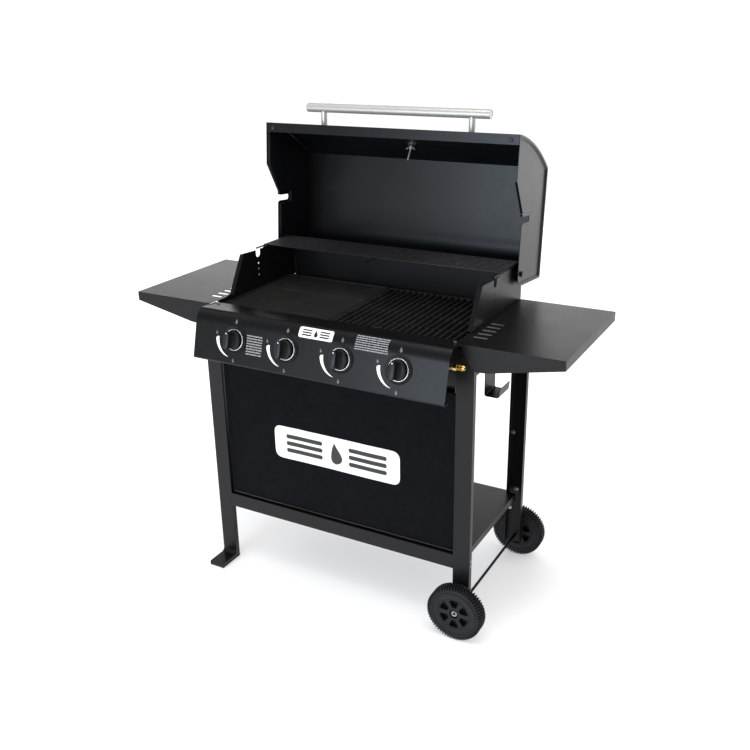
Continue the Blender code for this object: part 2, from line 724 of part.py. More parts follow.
def fascia_path():
    """Outer face of the fascia, from the lower return up over the rolled top to the firebox."""
    y, z = FASCIA_BOTTOM
    corner = FASCIA_CORNER
    lean = math.degrees(FASCIA_TILT)
    path = [(y + FASCIA_RETURN, z - corner + 0.0005)]
    path += arc((y + corner + 0.0008, z), corner, -90, -180 - lean, 5)
    upper = (y + FASCIA_FLAT * math.sin(FASCIA_TILT), z + FASCIA_FLAT * math.cos(FASCIA_TILT))
    bend = FASCIA_BEND
    turn_centre = (upper[0] + bend * math.cos(FASCIA_TILT), upper[1] - bend * math.sin(FASCIA_TILT))
    path += arc(turn_centre, bend, 180 - lean, FASCIA_BEND_END, 8)
    crest = path[-1]
    roll = FASCIA_ROLL
    away = math.radians(FASCIA_BEND_END)
    roll_centre = (crest[0] - roll * math.cos(away), crest[1] - roll * math.sin(away))
    path += arc(roll_centre, roll, 108, 72, 5)
    path += [(BODY_FRONT - 0.020, 0.8110), (BODY_FRONT - 2 * GAP, 0.8105)]
    return path


def make_fascia(cart, paint):
    half = FASCIA_WIDTH / 2
    outline = sheet_outline(list(reversed(fascia_path())), SHEET)
    panel = prism(outline, -half, half)
    cutters = []
    lean = Matrix.Rotation(math.pi / 2 - FASCIA_TILT, 4, "X")
    for x in knob_places():
        hole = turned([(0, -0.008), (STEM_HOLE, -0.008), (STEM_HOLE, 0.008), (0, 0.008)], 16)
        cutters.append(moved(hole, (x, fascia_face(KNOB_Z), KNOB_Z), lean))
    piece("fascia", joined([panel] + cutters, "fascia", "DIFFERENCE"), paint, cart)


def knob_grip(foot):
    """The bar across a knob: a flared foot, and a straight upper part."""
    shape = bmesh.new()
    rings = []
    for half, height in ((GRIP_FOOT_HALF, foot), (GRIP_WAIST_HALF, GRIP_WAIST), (GRIP_TOP_HALF, KNOB_TOP)):
        reach = GRIP_HALF_LENGTH - half
        outline = arc((0, reach), half, 0, 180, 6) + arc((0, -reach), half, 180, 360, 6)
        rings.append([shape.verts.new((x, y, height)) for x, y in outline])
    shape.faces.new(rings[0])
    shape.faces.new(rings[-1])
    for low, high in zip(rings, rings[1:]):
        for step in range(len(low)):
            after = (step + 1) % len(low)
            shape.faces.new((low[step], low[after], high[after], high[step]))
    bmesh.ops.recalc_face_normals(shape, faces=shape.faces)
    return shape


def make_controls(cart, black, plated, brass):
    """A valve, bezel, stem and knob at each station, drawn about the knob's axis."""
    valve = [
        (0, -0.034), (0.0044, -0.034), (0.0044, -0.0022), (0.0065, -0.0022), (0.0065, -0.006),
        (0.0090, -0.008), (0.0090, -0.042), (0.0105, -0.043), (0.0105, -0.054), (0.0050, -0.055),
        (0.0040, -0.060), (0, -0.060),
    ]
    ring_top = BEZEL_THICK + RING_RISE
    bezel = [
        (0.0070, GAP), (BEZEL_RADIUS, GAP), (BEZEL_RADIUS - 0.001, BEZEL_THICK),
        (RING_OUTER + 0.0003, BEZEL_THICK), (RING_OUTER, ring_top), (RING_INNER, ring_top),
        (RING_INNER - 0.0003, BEZEL_THICK), (0.0070, BEZEL_THICK),
    ]
    stem = [
        (0, -0.030), (STEM_RADIUS - 0.0005, -0.030), (STEM_RADIUS, -0.0295),
        (STEM_RADIUS, STEM_TOP - 0.0005), (STEM_RADIUS - 0.0005, STEM_TOP), (0, STEM_TOP),
    ]
    skirt_top = KNOB_BACK + KNOB_SKIRT
    skirt = [
        (0, KNOB_BACK), (KNOB_RADIUS, KNOB_BACK), (KNOB_RADIUS, skirt_top - 0.002),
        (KNOB_RADIUS - 0.002, skirt_top), (0, skirt_top),
    ]
    bore = STEM_RADIUS + GAP
    lean = (math.pi / 2 - FASCIA_TILT, 0, 0)
    for index, x in enumerate(knob_places()):
        number = index + 1
        seat = station(f"knob_axis_{number}", cart, (x, fascia_face(KNOB_Z), KNOB_Z), lean)
        piece(f"valve_{number}", turned(valve, 12), brass, seat, smooth=True)
        piece(f"bezel_{number}", turned(bezel, 24, closed=True), plated, seat, smooth=True)
        piece(f"valve_stem_{number}", turned(stem, 12), plated, seat, smooth=True)
        cap = joined([turned(skirt, 24), knob_grip(skirt_top - 0.002)], "knob")
        socket = turned([(0, 0), (bore, 0), (bore, STEM_TOP + GAP), (0, STEM_TOP + GAP)], 12)
        piece(f"knob_{number}", joined([cap, socket], "knob", "DIFFERENCE"), black, seat)


def make_manifold(cart, steel, brass):
    quarter = math.radians(90)
    end = FASCIA_WIDTH / 2 - MANIFOLD_INSET
    tube = [(0, -0.300), (MANIFOLD_RADIUS, -0.300), (MANIFOLD_RADIUS, end), (0, end)]
    turn = Matrix.Rotation(quarter, 4, "Y")
    pipe = moved(turned(tube, 16), (0, MANIFOLD_Y, MANIFOLD_Z), turn)
    piece("gas_manifold", pipe, steel, cart, smooth=True)
    start = end + GAP
    inlet = [
        (0, start), (0.0095, start), (0.0095, start + 0.009), (0.0060, start + 0.010),
        (0.0060, start + 0.012), (0.0078, start + 0.0125), (0.0078, start + 0.023),
        (0.0068, start + 0.030), (0.0040, start + 0.030), (0.0040, start + 0.014), (0, start + 0.014),
    ]
    fitting = moved(turned(inlet, 16), (0, MANIFOLD_Y, MANIFOLD_Z), turn)
    piece("gas_inlet", fitting, brass, cart, smooth=True)


# ---------------------------------------------------------------- side shelves
def make_side_shelves(cart, paint):
    """A pressed tray with slots by the firebox, and edges that deepen towards the firebox."""
    for name, side in SIDES:
        near = side * TABLE_INNER_X
        far = side * TABLE_OUTER_X
        x0, x1 = sorted((near, far))
        slot_near = side * (TABLE_INNER_X + SLOT_MARGIN)
        slot_far = slot_near + side * SLOT_LENGTH
        s0, s1 = sorted((slot_near, slot_far))
        slots = [(s0, s1, y - SLOT_WIDTH / 2, y + SLOT_WIDTH / 2) for y in SLOT_CENTRES_Y]
        top = perforated((x0, TABLE_FRONT, TABLE_TOP - SHEET), (x1, TABLE_BACK, TABLE_TOP), slots)
        middle = TABLE_TOP - SHEET / 2
        inner_corner = bowed((side * APRON_INNER[0], APRON_INNER[1]), (near, middle), side * 0.006, 6)
        edge = [(far, middle), (far, TABLE_EDGE_BOTTOM), (side * APRON_BEND[0], APRON_BEND[1])]
        edge += inner_corner
        apron = [
            prism(edge, TABLE_FRONT, TABLE_FRONT + SHEET, "y"),
            prism(edge, TABLE_BACK - SHEET, TABLE_BACK, "y"),
            block((min(far, far - side * SHEET), TABLE_FRONT, TABLE_EDGE_BOTTOM),
                  (max(far, far - side * SHEET), TABLE_BACK, middle)),
        ]
        wall = side * (BODY_WIDTH / 2 + GAP)
        lip = [
            (wall, TABLE_TOP - TABLE_LIP_DEPTH), (wall, TABLE_TOP), (near + side * SHEET, TABLE_TOP),
            (near + side * SHEET, TABLE_TOP - SHEET), (wall + side * SHEET, TABLE_TOP - SHEET),
            (wall + side * SHEET, TABLE_TOP - TABLE_LIP_DEPTH),
        ]
        hanger = prism(lip, TABLE_LIP[0], TABLE_LIP[1], "y")
        piece(f"side_shelf_{name}", joined([top, hanger] + apron, "side_shelf"), paint, cart)


# ---------------------------------------------------------------- hood
def make_hood(cart, paint, inside, plated):
    hinge = station("hood_hinge", cart, (0, HINGE_Y, HINGE_Z), (-HOOD_LEAN, 0, 0))
    curve = hood_curve()
    lip_bottom = (LIP_TOP[0], LIP_TOP[1] - LIP_DEPTH)
    path = [(VENT_EDGE_Y, HEEL[1]), HEEL] + list(reversed(curve)) + [lip_bottom]
    half = HOOD_WIDTH / 2 - SHEET - GAP
    shell = prism(sheet_outline(path, SHEET), -half, half)
    seat, normal = dial_seat(curve)
    dial_lean = -math.atan2(normal.x, normal.y)
    lean = Matrix.Rotation(dial_lean, 4, "X")
    bore = turned([(0, -0.01), (DIAL_BORE, -0.01), (DIAL_BORE, 0.01), (0, 0.01)], 16)
    moved(bore, (0, seat.x, seat.y), lean)
    piece("hood_shell", joined([shell, bore], "shell", "DIFFERENCE"), inside, hinge, smooth=True)

    outline = [HEEL] + list(reversed(curve)) + hood_front_edge()
    holes = [circle((0, 0), HINGE_BORE, 16)]
    for name, side in SIDES:
        outer = side * HOOD_WIDTH / 2
        inner = side * (HOOD_WIDTH / 2 - SHEET)
        panel = prism(outline, min(outer, inner), max(outer, inner), "x", holes)
        piece(f"hood_side_{name}", panel, paint, hinge)
        pin = moved(turned(hinge_pin_profile(), 12), (0, 0, 0), Matrix.Rotation(side * math.pi / 2, 4, "Y"))
        piece(f"hinge_pin_{name}", pin, plated, hinge, smooth=True)

    bar_y, bar_z = HANDLE_CENTRE
    piece("hood_handle_bar",
          rod((-HANDLE_HALF, bar_y, bar_z), (HANDLE_HALF, bar_y, bar_z), HANDLE_RADIUS, 24),
          plated, hinge, smooth=True)
    under = [(y, z + GAP) for y, z in curve]
    under += [(curve[-1][0], 0.200), (curve[0][0], 0.200)]
    for name, side in SIDES:
        x = side * POST_X
        post = rod((x, bar_y, 0.340), (x, bar_y, bar_z), POST_RADIUS, 16)
        saddle = rod((x - 0.02, bar_y, bar_z), (x + 0.02, bar_y, bar_z), HANDLE_RADIUS + GAP, 24)
        roof = prism(under, x - 0.02, x + 0.02)
        post = joined([post, saddle, roof], "post", "DIFFERENCE")
        piece(f"handle_post_{name}", post, plated, hinge, smooth=True)

    dial_axis = station("thermometer_axis", hinge, (0, seat.x, seat.y), (dial_lean, 0, 0))
    dial = [
        (0, -0.045), (0.0020, -0.044), (0.0020, -0.012), (0.0034, -0.0115), (0.0034, 0.0010),
        (DIAL_RADIUS, 0.0010), (DIAL_RADIUS, 0.008), (DIAL_RADIUS - 0.002, 0.010),
        (DIAL_RADIUS - 0.004, 0.009), (0, 0.0095),
    ]
    piece("thermometer", turned(dial, 24), plated, dial_axis, smooth=True)
    ring = turned([(0.0037, -0.0085), (0.0070, -0.0085), (0.0070, -0.0022), (0.0037, -0.0022)], 16, True)
    wings = []
    for side in (-1, 1):
        x0, x1 = sorted((side * 0.006, side * 0.015))
        wings.append(block((x0, -0.001, -0.0105), (x1, 0.001, -0.0035)))
    piece("thermometer_nut", joined([ring] + wings, "nut"), plated, dial_axis)


def hood_front_edge():
    """Front edge of a hood side from the lip down: a slope, the spit's notch and the lower corner."""
    slope = [(LIP_TOP[0], 0.245), (-0.0245, 0.1655)]
    notch = arc((-0.0170, 0.1600), 0.007, 150, 262, 4)
    notch += arc((0.0250, 0.1470), 0.0060, 90, 0, 3)
    notch += arc((0.0250, 0.1420), 0.0060, 0, -90, 3)
    notch += arc((-0.0130, 0.1260), 0.0098, 90, 180, 4)
    lower_corner = arc((0.0050, -0.0050), 0.0278, 180, 270, 5)
    return slope + notch + lower_corner


def hood_curve():
    """The hood's curved top from its front lip back, arched away from the hinge."""
    return bowed(LIP_TOP, CREST_BACK, CREST_RISE, 24)


def dial_seat(curve):
    """Where the thermometer sits on the curved top, and the outward direction there."""
    for before, after in zip(curve, curve[1:]):
        if before[0] <= DIAL_Y <= after[0]:
            part = (DIAL_Y - before[0]) / (after[0] - before[0])
            seat = Vector(before).lerp(Vector(after), part)
            along = (Vector(after) - Vector(before)).normalized()
            return seat, Vector((-along.y, along.x))
    raise ValueError("the thermometer is off the hood")


def hinge_pin_profile():
    """A shouldered pin with a nut inside the firebox and a head outside the hood."""
    wall_in = BODY_WIDTH / 2 - SHEET - GAP
    wall_out = BODY_WIDTH / 2 + GAP
    hood_in = HOOD_WIDTH / 2 - SHEET - GAP
    hood_out = HOOD_WIDTH / 2 + GAP
    shank = 0.004
    return [
        (0, wall_in - 0.008), (0.0045, wall_in - 0.008), (0.0075, wall_in - 0.006), (0.0075, wall_in),
        (shank, wall_in), (shank, wall_out), (0.007, wall_out), (0.007, hood_in), (shank, hood_in),
        (shank, hood_out), (0.0085, hood_out), (0.0085, hood_out + 0.0025), (0.006, hood_out + 0.0045),
        (0, hood_out + 0.0045),
    ]


# ---------------------------------------------------------------- rack and tray
def make_warming_rack(cart, plated):
    """Parallel wires on two bearer wires that lie on the firebox sides."""
    z = BODY_TOP + BODY_REAR_RISE + GAP + RACK_WIRE
    bearer_x = BODY_WIDTH / 2 - SHEET / 2
    shapes = []
    for x in (-bearer_x, 0, bearer_x):
        near = (x, RACK_FRONT - RACK_OVERHANG, z)
        far = (x, RACK_BACK + RACK_OVERHANG, z)
        shapes.append(rod(near, far, RACK_WIRE, 6))
    level = z + RACK_WIRE / 2
    for index in range(RACK_WIRES):
        y = RACK_FRONT + (RACK_BACK - RACK_FRONT) * index / (RACK_WIRES - 1)
        shapes.append(rod((-RACK_HALF, y, level), (RACK_HALF, y, level), RACK_WIRE * 0.9, 6))
    piece("warming_rack", joined(shapes, "rack"), plated, cart)


def make_grease_tray(cart, steel, paint):
    ledge_top = BODY_BOTTOM + SHEET
    for name, side in SIDES:
        outer = side * (BODY_WIDTH / 2 - SHEET - GAP)
        inner = side * (TRAY_HALF + 0.002)
        path = [(outer, RUNNER_TOP), (outer, BODY_BOTTOM), (inner, BODY_BOTTOM)]
        if side > 0:
            path.reverse()
        runner = prism(sheet_outline(path, SHEET), TRAY_FRONT, BODY_BACK - 0.003, "y")
        piece(f"tray_runner_{name}", runner, paint, cart)

    rim_low = ledge_top + GAP
    rim_high = rim_low + SHEET
    rim = TRAY_HALF + TRAY_RIM
    outer_box = block((-TRAY_HALF, TRAY_FRONT, TRAY_BOTTOM), (TRAY_HALF, TRAY_BACK, rim_high))
    rims = block((-rim, TRAY_FRONT, rim_low), (rim, TRAY_BACK, rim_high))
    pull = block((-PULL_HALF, TRAY_BACK - SHEET, rim_low - 0.012),
                 (PULL_HALF, TRAY_BACK + PULL_REACH, rim_low - 0.010))
    well = block((-TRAY_HALF + SHEET, TRAY_FRONT + SHEET, TRAY_BOTTOM + SHEET),
                 (TRAY_HALF - SHEET, TRAY_BACK - SHEET, rim_high + 0.01))
    body = joined([outer_box, rims, pull], "tray")
    piece("grease_tray", joined([body, well], "tray", "DIFFERENCE"), steel, cart)


# ---------------------------------------------------------------- the barbecue
def build():
    clear_scene()
    paint = finish("black_powder_coat", (0.030, 0.031, 0.032), 0.42)
    hood_paint = finish("black_enamel", (0.026, 0.028, 0.032), 0.32)
    iron = finish("cast_iron", (0.018, 0.018, 0.018), 0.60, 0.3)
    stainless = finish("brushed_stainless", (0.66, 0.65, 0.62), 0.30, 1.0)
    zinc = finish("zinc_plate", (0.52, 0.53, 0.54), 0.35, 1.0)
    aluminised = finish("aluminised_steel", (0.45, 0.45, 0.44), 0.45, 1.0)
    wire = finish("black_wire", (0.030, 0.030, 0.030), 0.35, 0.2)
    plastic = finish("wheel_plastic", (0.028, 0.028, 0.030), 0.55)
    knob_plastic = finish("knob_plastic", (0.018, 0.018, 0.019), 0.35)
    brass = finish("brass", (0.70, 0.56, 0.25), 0.28, 1.0)
    fabric = finish("woven_fabric", (0.014, 0.017, 0.020), 0.92)

    cart = station("cart", None, (0, CART_SHIFT_Y, 0))
    make_legs(cart, paint)
    make_lower_frame(cart, paint, zinc)
    make_wheels(cart, plastic)
    make_fabric(cart, fabric, zinc)
    make_bottle_hook(cart, paint)
    make_firebox(cart, paint)
    make_cooking_plates(cart, iron)
    make_flame_tamers(cart, aluminised)
    make_burners(cart, aluminised)
    make_fascia(cart, paint)
    make_controls(cart, knob_plastic, zinc, brass)
    make_manifold(cart, aluminised, brass)
    make_side_shelves(cart, paint)
    make_hood(cart, paint, hood_paint, stainless)
    make_warming_rack(cart, wire)
    make_grease_tray(cart, aluminised, paint)


build()
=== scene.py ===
"""Looks of the hooded four-burner gas barbecue: camera, light, finishes and detailed pieces.

Everything is in metres, X to the right, Y to the back and Z up.
"""
import json
import math

import bmesh
import bpy
from mathutils import Matrix, Vector, noise
from mathutils.geometry import tessellate_polygon


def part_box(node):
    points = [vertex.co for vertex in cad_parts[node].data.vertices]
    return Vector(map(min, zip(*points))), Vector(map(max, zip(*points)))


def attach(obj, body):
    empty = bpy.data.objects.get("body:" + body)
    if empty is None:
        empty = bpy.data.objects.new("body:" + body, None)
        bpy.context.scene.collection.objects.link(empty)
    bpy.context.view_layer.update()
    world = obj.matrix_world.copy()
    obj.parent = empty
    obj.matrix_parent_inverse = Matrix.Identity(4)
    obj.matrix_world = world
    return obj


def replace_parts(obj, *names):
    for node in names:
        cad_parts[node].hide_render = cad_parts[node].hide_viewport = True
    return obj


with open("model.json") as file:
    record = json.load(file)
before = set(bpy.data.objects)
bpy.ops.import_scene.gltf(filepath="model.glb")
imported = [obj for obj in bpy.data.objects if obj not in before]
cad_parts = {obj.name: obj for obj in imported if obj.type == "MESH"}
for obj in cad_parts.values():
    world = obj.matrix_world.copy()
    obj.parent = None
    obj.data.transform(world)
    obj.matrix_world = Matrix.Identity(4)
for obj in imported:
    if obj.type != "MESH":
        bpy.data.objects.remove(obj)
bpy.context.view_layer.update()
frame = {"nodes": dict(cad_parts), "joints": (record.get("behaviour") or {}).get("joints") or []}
NODES = frame["nodes"]
JOINTS = {joint["name"]: joint for joint in frame["joints"]}
SIDES = (("left", -1), ("right", 1))
STATIONS = (1, 2, 3, 4)
SHEET = 0.0015                       # pressed steel sheet


# ---------------------------------------------------------------- camera, floor and light
CAMERA_PLACE = (1.1899, -2.0864, 1.5429)
CAMERA_YAW = 0.5113                  # radians, to the left
CAMERA_PITCH = 0.3772                # radians, down
CAMERA_ROLL = -0.0170
CAMERA_LENS = 43.81                  # mm on a 36 mm sensor
FLOOR_RADIUS = 60.0
SKY_LIGHT = 1.15                     # what lights the floor and the matt surfaces
FLOOR_GLOW = 0.30                    # keeps the shadows on the floor pale
SKY_IN_GLOSS = 0.12                  # what the glossy surfaces reflect
WHITE_LIGHT = (1.0, 1.0, 1.0)
BLUE_LIGHT = (0.75, 0.88, 1.0)
SOFTBOXES = (                        # name, place, target, size, watts, colour
    ("front_softbox", (-0.75, -4.6, 1.2), (0.1, 0, 0.9), (2.0, 1.5), 95, BLUE_LIGHT),
    ("left_softbox", (-3.4, -0.6, 3.1), (-0.2, 0, 0.8), (1.6, 1.8), 15, WHITE_LIGHT),
    ("top_softbox", (0.4, -0.6, 4.4), (0, 0, 0.8), (3.0, 2.0), 95, WHITE_LIGHT),
    ("back_softbox", (-1.8, 5.0, 1.8), (-0.6, 0, 0.8), (7.0, 2.2), 112, WHITE_LIGHT),
    ("right_softbox", (2.6, 5.2, 0.7), (0.4, 0, 0.9), (4.0, 1.6), 20, WHITE_LIGHT),
)


def make_camera():
    camera = bpy.data.objects.new("camera", bpy.data.cameras.new("camera"))
    bpy.context.scene.collection.objects.link(camera)
    camera.data.sensor_width = 36
    camera.data.lens = CAMERA_LENS
    turn = Matrix.Rotation(CAMERA_YAW, 4, "Z") @ Matrix.Rotation(math.pi / 2 - CAMERA_PITCH, 4, "X")
    camera.matrix_world = Matrix.Translation(CAMERA_PLACE) @ turn @ Matrix.Rotation(CAMERA_ROLL, 4, "Z")
    bpy.context.scene.camera = camera


def area_light(name, place, target, size, power, colour):
    data = bpy.data.lights.new(name, "AREA")
    data.shape = "RECTANGLE"
    data.size, data.size_y = size
    data.energy = power
    data.color = colour
    light = bpy.data.objects.new(name, data)
    bpy.context.scene.collection.objects.link(light)
    light.location = place
    light.rotation_euler = (Vector(target) - Vector(place)).to_track_quat("-Z", "Y").to_euler()


def make_studio():
    """A pale floor under a pale sky, with large soft lights."""
    scene = bpy.context.scene
    scene.view_settings.view_transform = "Standard"
    world = bpy.data.worlds.new("studio")
    world.use_nodes = True
    scene.world = world
    nodes, links = world.node_tree.nodes, world.node_tree.links
    sky = nodes["Background"]
    sky.inputs["Color"].default_value = (1.0, 1.0, 1.0, 1)
    sky.inputs["Strength"].default_value = SKY_LIGHT
    dim = nodes.new("ShaderNodeBackground")
    dim.inputs["Color"].default_value = (0.90, 0.95, 1.0, 1)
    dim.inputs["Strength"].default_value = SKY_IN_GLOSS
    rays = nodes.new("ShaderNodeLightPath")
    mix = nodes.new("ShaderNodeMixShader")
    links.new(rays.outputs["Is Glossy Ray"], mix.inputs[0])
    links.new(sky.outputs[0], mix.inputs[1])
    links.new(dim.outputs[0], mix.inputs[2])
    links.new(mix.outputs[0], nodes["World Output"].inputs["Surface"])
    for name, place, target, size, power, colour in SOFTBOXES:
        area_light(name, place, target, size, power, colour)

    floor_shape = slab(circle((0, 0), FLOOR_RADIUS, 96), -0.02, 0.0)
    mesh = bpy.data.meshes.new("floor")
    floor_shape.to_mesh(mesh)
    floor_shape.free()
    mesh.materials.append(floor_paint())
    floor = bpy.data.objects.new("floor", mesh)
    scene.collection.objects.link(floor)


# ---------------------------------------------------------------- finishes
class Finish:
    """A node material: a Principled shader, and short calls for the textures that feed it."""

    def __init__(self, name, colour=(0.5, 0.5, 0.5), roughness=0.5, **fixed):
        self.material = bpy.data.materials.new(name)
        self.material.use_nodes = True
        self.nodes = self.material.node_tree.nodes
        self.links = self.material.node_tree.links
        self.shader = self.nodes["Principled BSDF"]
        self.shader.inputs["Base Color"].default_value = (*colour, 1)
        self.shader.inputs["Roughness"].default_value = roughness
        for key, value in fixed.items():
            self.shader.inputs[key.replace("_", " ")].default_value = value
        self.place = self.nodes.new("ShaderNodeTexCoord").outputs["Object"]
        self.last_bump = None

    def texture(self, kind, stretch=(1, 1, 1), output=0, **values):
        """One texture's value over the object's own coordinates."""
        node = self.nodes.new("ShaderNodeTex" + kind)
        for key, value in values.items():
            label = key.replace("_", " ")
            if label in node.inputs:
                node.inputs[label].default_value = value
            else:
                setattr(node, key, value)
        mapping = self.nodes.new("ShaderNodeMapping")
        mapping.inputs["Scale"].default_value = stretch
        self.links.new(self.place, mapping.inputs["Vector"])
        self.links.new(mapping.outputs["Vector"], node.inputs["Vector"])
        return node.outputs[output]

    def speckle(self, scale, detail=2.0, stretch=(1, 1, 1), roughness=0.5):
        return self.texture("Noise", stretch, 0, Scale=scale, Detail=detail, Roughness=roughness)

    def span(self, value, low, high, start=0.3, end=0.7):
        """A texture's value stretched to run from low to high."""
        node = self.nodes.new("ShaderNodeMapRange")
        node.inputs["From Min"].default_value = start
        node.inputs["From Max"].default_value = end
        node.inputs["To Min"].default_value = low
        node.inputs["To Max"].default_value = high
        self.links.new(value, node.inputs["Value"])
        return node.outputs[0]

    def blend(self, value, first, second, start=0.3, end=0.7):
        """A colour between two, by a texture's value."""
        node = self.nodes.new("ShaderNodeValToRGB")
        stops = node.color_ramp.elements
        stops[0].position, stops[1].position = start, end
        stops[0].color, stops[1].color = (*first, 1), (*second, 1)
        self.links.new(value, node.inputs[0])
        return node.outputs[0]

    def maths(self, one, other, operation="MULTIPLY"):
        node = self.nodes.new("ShaderNodeMath")
        node.operation = operation
        self.links.new(one, node.inputs[0])
        self.links.new(other, node.inputs[1])
        return node.outputs[0]

    def colour(self, socket):
        self.links.new(socket, self.shader.inputs["Base Color"])

    def rough(self, socket):
        self.links.new(socket, self.shader.inputs["Roughness"])

    def bump(self, height, strength, distance):
        node = self.nodes.new("ShaderNodeBump")
        node.inputs["Strength"].default_value = strength
        node.inputs["Distance"].default_value = distance
        self.links.new(height, node.inputs["Height"])
        if self.last_bump is not None:
            self.links.new(self.last_bump, node.inputs["Normal"])
        self.last_bump = node.outputs[0]
        self.links.new(self.last_bump, self.shader.inputs["Normal"])


def floor_paint():
    made = Finish("floor_paint", roughness=0.9, Specular_IOR_Level=0.0, Emission_Color=(1, 1, 1, 1),
                  Emission_Strength=FLOOR_GLOW)
    made.colour(made.blend(made.speckle(0.8, 3), (0.64, 0.64, 0.64), (0.67, 0.67, 0.67)))
    made.bump(made.speckle(90, 3), 0.02, 0.001)
    return made.material


def powder_coat(name, dark, light, low_rough, high_rough, peel):
    """Powder coat: slow changes in shade and a fine orange peel."""
    made = Finish(name, Specular_IOR_Level=0.25)
    made.colour(made.blend(made.speckle(7, 4), dark, light))
    handled = made.maths(made.speckle(11, 5, roughness=0.6), made.speckle(90, 2), "ADD")
    made.rough(made.span(handled, low_rough, high_rough, 0.55, 1.45))
    made.bump(made.speckle(650, 2), peel, 0.0006)
    made.bump(made.speckle(2600, 1), peel * 0.5, 0.0003)
    return made.material


def cast_iron():
    made = Finish("cast_iron_enamel", Specular_IOR_Level=0.3)
    made.colour(made.blend(made.speckle(23, 4), (0.008, 0.008, 0.008), (0.017, 0.0165, 0.016)))
    made.rough(made.span(made.speckle(60, 5), 0.58, 0.75))
    made.bump(made.speckle(420, 6, roughness=0.7), 0.35, 0.0006)
    made.bump(made.texture("Voronoi", Scale=520.0), 0.12, 0.0004)
    return made.material


def hotplate_enamel():
    made = Finish("hotplate_enamel")
    made.colour(made.blend(made.speckle(9, 5), (0.009, 0.0095, 0.0085), (0.015, 0.015, 0.013)))
    made.rough(made.span(made.speckle(32, 5, roughness=0.6), 0.40, 0.52))
    made.bump(made.speckle(520, 5, roughness=0.6), 0.16, 0.0005)
    return made.material


def brushed(name, stretch):
    """Metal with fine scratches along one axis, which is the axis with the small stretch."""
    made = Finish(name, Metallic=0.55)
    lines = made.speckle(1.0, 4, stretch, 0.6)
    made.colour(made.blend(lines, (0.50, 0.49, 0.46), (0.61, 0.60, 0.565)))
    made.rough(made.span(lines, 0.32, 0.44))
    made.bump(lines, 0.06, 0.0003)
    return made.material


def plated(name, dark, light, low_rough, high_rough, spangle):
    """Bright plating or dip coat with a faint crystal pattern."""
    made = Finish(name, Metallic=1.0)
    crystal = made.texture("Voronoi", Scale=spangle, output="Color")
    grey = made.nodes.new("ShaderNodeRGBToBW")
    made.links.new(crystal, grey.inputs[0])
    made.colour(made.blend(grey.outputs[0], dark, light, 0.1, 0.9))
    made.rough(made.span(made.speckle(spangle * 1.7, 4), low_rough, high_rough))
    made.bump(made.speckle(spangle * 4, 3), 0.05, 0.0003)
    return made.material


def moulded(name, dark, light, low_rough, high_rough, grain, specular=0.28):
    """Moulded plastic with a spark-eroded skin."""
    made = Finish(name, Specular_IOR_Level=specular)
    made.colour(made.blend(made.speckle(28, 3), dark, light))
    made.rough(made.span(made.speckle(75, 4), low_rough, high_rough))
    made.bump(made.speckle(grain, 3, roughness=0.6), 0.14, 0.0003)
    return made.material


def brass():
    made = Finish("turned_brass", Metallic=1.0)
    made.colour(made.blend(made.speckle(90, 4), (0.66, 0.44, 0.12), (0.82, 0.60, 0.22)))
    rings = made.speckle(1.0, 3, (1800, 60, 60))
    made.rough(made.span(rings, 0.18, 0.36))
    made.bump(rings, 0.08, 0.0003)
    return made.material


def weave(name, dark, light, pitch):
    """Plain weave: two sets of threads at right angles, with the odd thicker thread."""
    made = Finish(name, Sheen_Weight=0.02, Sheen_Roughness=0.5, Specular_IOR_Level=0.06)
    scale = 2 * math.pi / pitch / 20             # at scale 1 a wave texture runs 20 radians a metre
    warp, weft = (made.texture("Wave", Scale=scale, bands_direction=axis, Distortion=0.6, Detail=1.0,
                               Detail_Scale=0.05) for axis in "XZ")
    cross = made.maths(warp, weft)
    shade = made.maths(cross, made.speckle(55, 4), "ADD")
    made.colour(made.blend(shade, dark, light, 0.35, 1.3))
    made.rough(made.span(made.speckle(18, 3), 0.76, 0.92))
    made.bump(cross, 0.45, 0.0004)
    made.bump(made.speckle(1.0, 3, (900, 40, 40)), 0.15, 0.0003)
    return made.material


def printed(name, dark, light):
    """Screen print or vinyl: nearly even, with a faint mottle."""
    made = Finish(name)
    made.colour(made.blend(made.speckle(160, 4), dark, light))
    made.rough(made.span(made.speckle(60, 4), 0.36, 0.48))
    made.bump(made.speckle(1400, 2), 0.04, 0.0002)
    return made.material


def clear_glass():
    made = Finish("dial_glass", (1, 1, 1), Transmission_Weight=1.0, IOR=1.45)
    made.rough(made.span(made.speckle(220, 3), 0.02, 0.05))
    made.bump(made.speckle(60, 2), 0.01, 0.0002)
    return made.material


COAT = powder_coat("black_powder_coat_paint", (0.0036, 0.0037, 0.0038), (0.0052, 0.0053, 0.0055),
                   0.33, 0.40, 0.07)
ENAMEL = powder_coat("hood_enamel_paint", (0.0038, 0.0043, 0.0052), (0.0054, 0.0060, 0.0070),
                     0.27, 0.33, 0.04)
IRON = cast_iron()
HOTPLATE = hotplate_enamel()
STEEL_X = brushed("brushed_stainless", (3, 1400, 1400))
STEEL_Z = brushed("brushed_stainless_post", (900, 900, 3))
ZINC = plated("bright_zinc", (0.50, 0.51, 0.54), (0.66, 0.67, 0.70), 0.22, 0.40, 260)
CHROME = plated("bezel_ring_chrome", (0.80, 0.79, 0.74), (0.88, 0.87, 0.82), 0.34, 0.46, 500)
ALUMINISED = plated("aluminised_sheet", (0.34, 0.34, 0.33), (0.46, 0.46, 0.45), 0.38, 0.56, 120)
WIRE = powder_coat("black_wire_enamel", (0.008, 0.008, 0.008), (0.012, 0.012, 0.013), 0.24, 0.36, 0.05)
AXLE_STEEL = plated("axle_steel", (0.026, 0.026, 0.027), (0.042, 0.042, 0.044), 0.35, 0.50, 300)
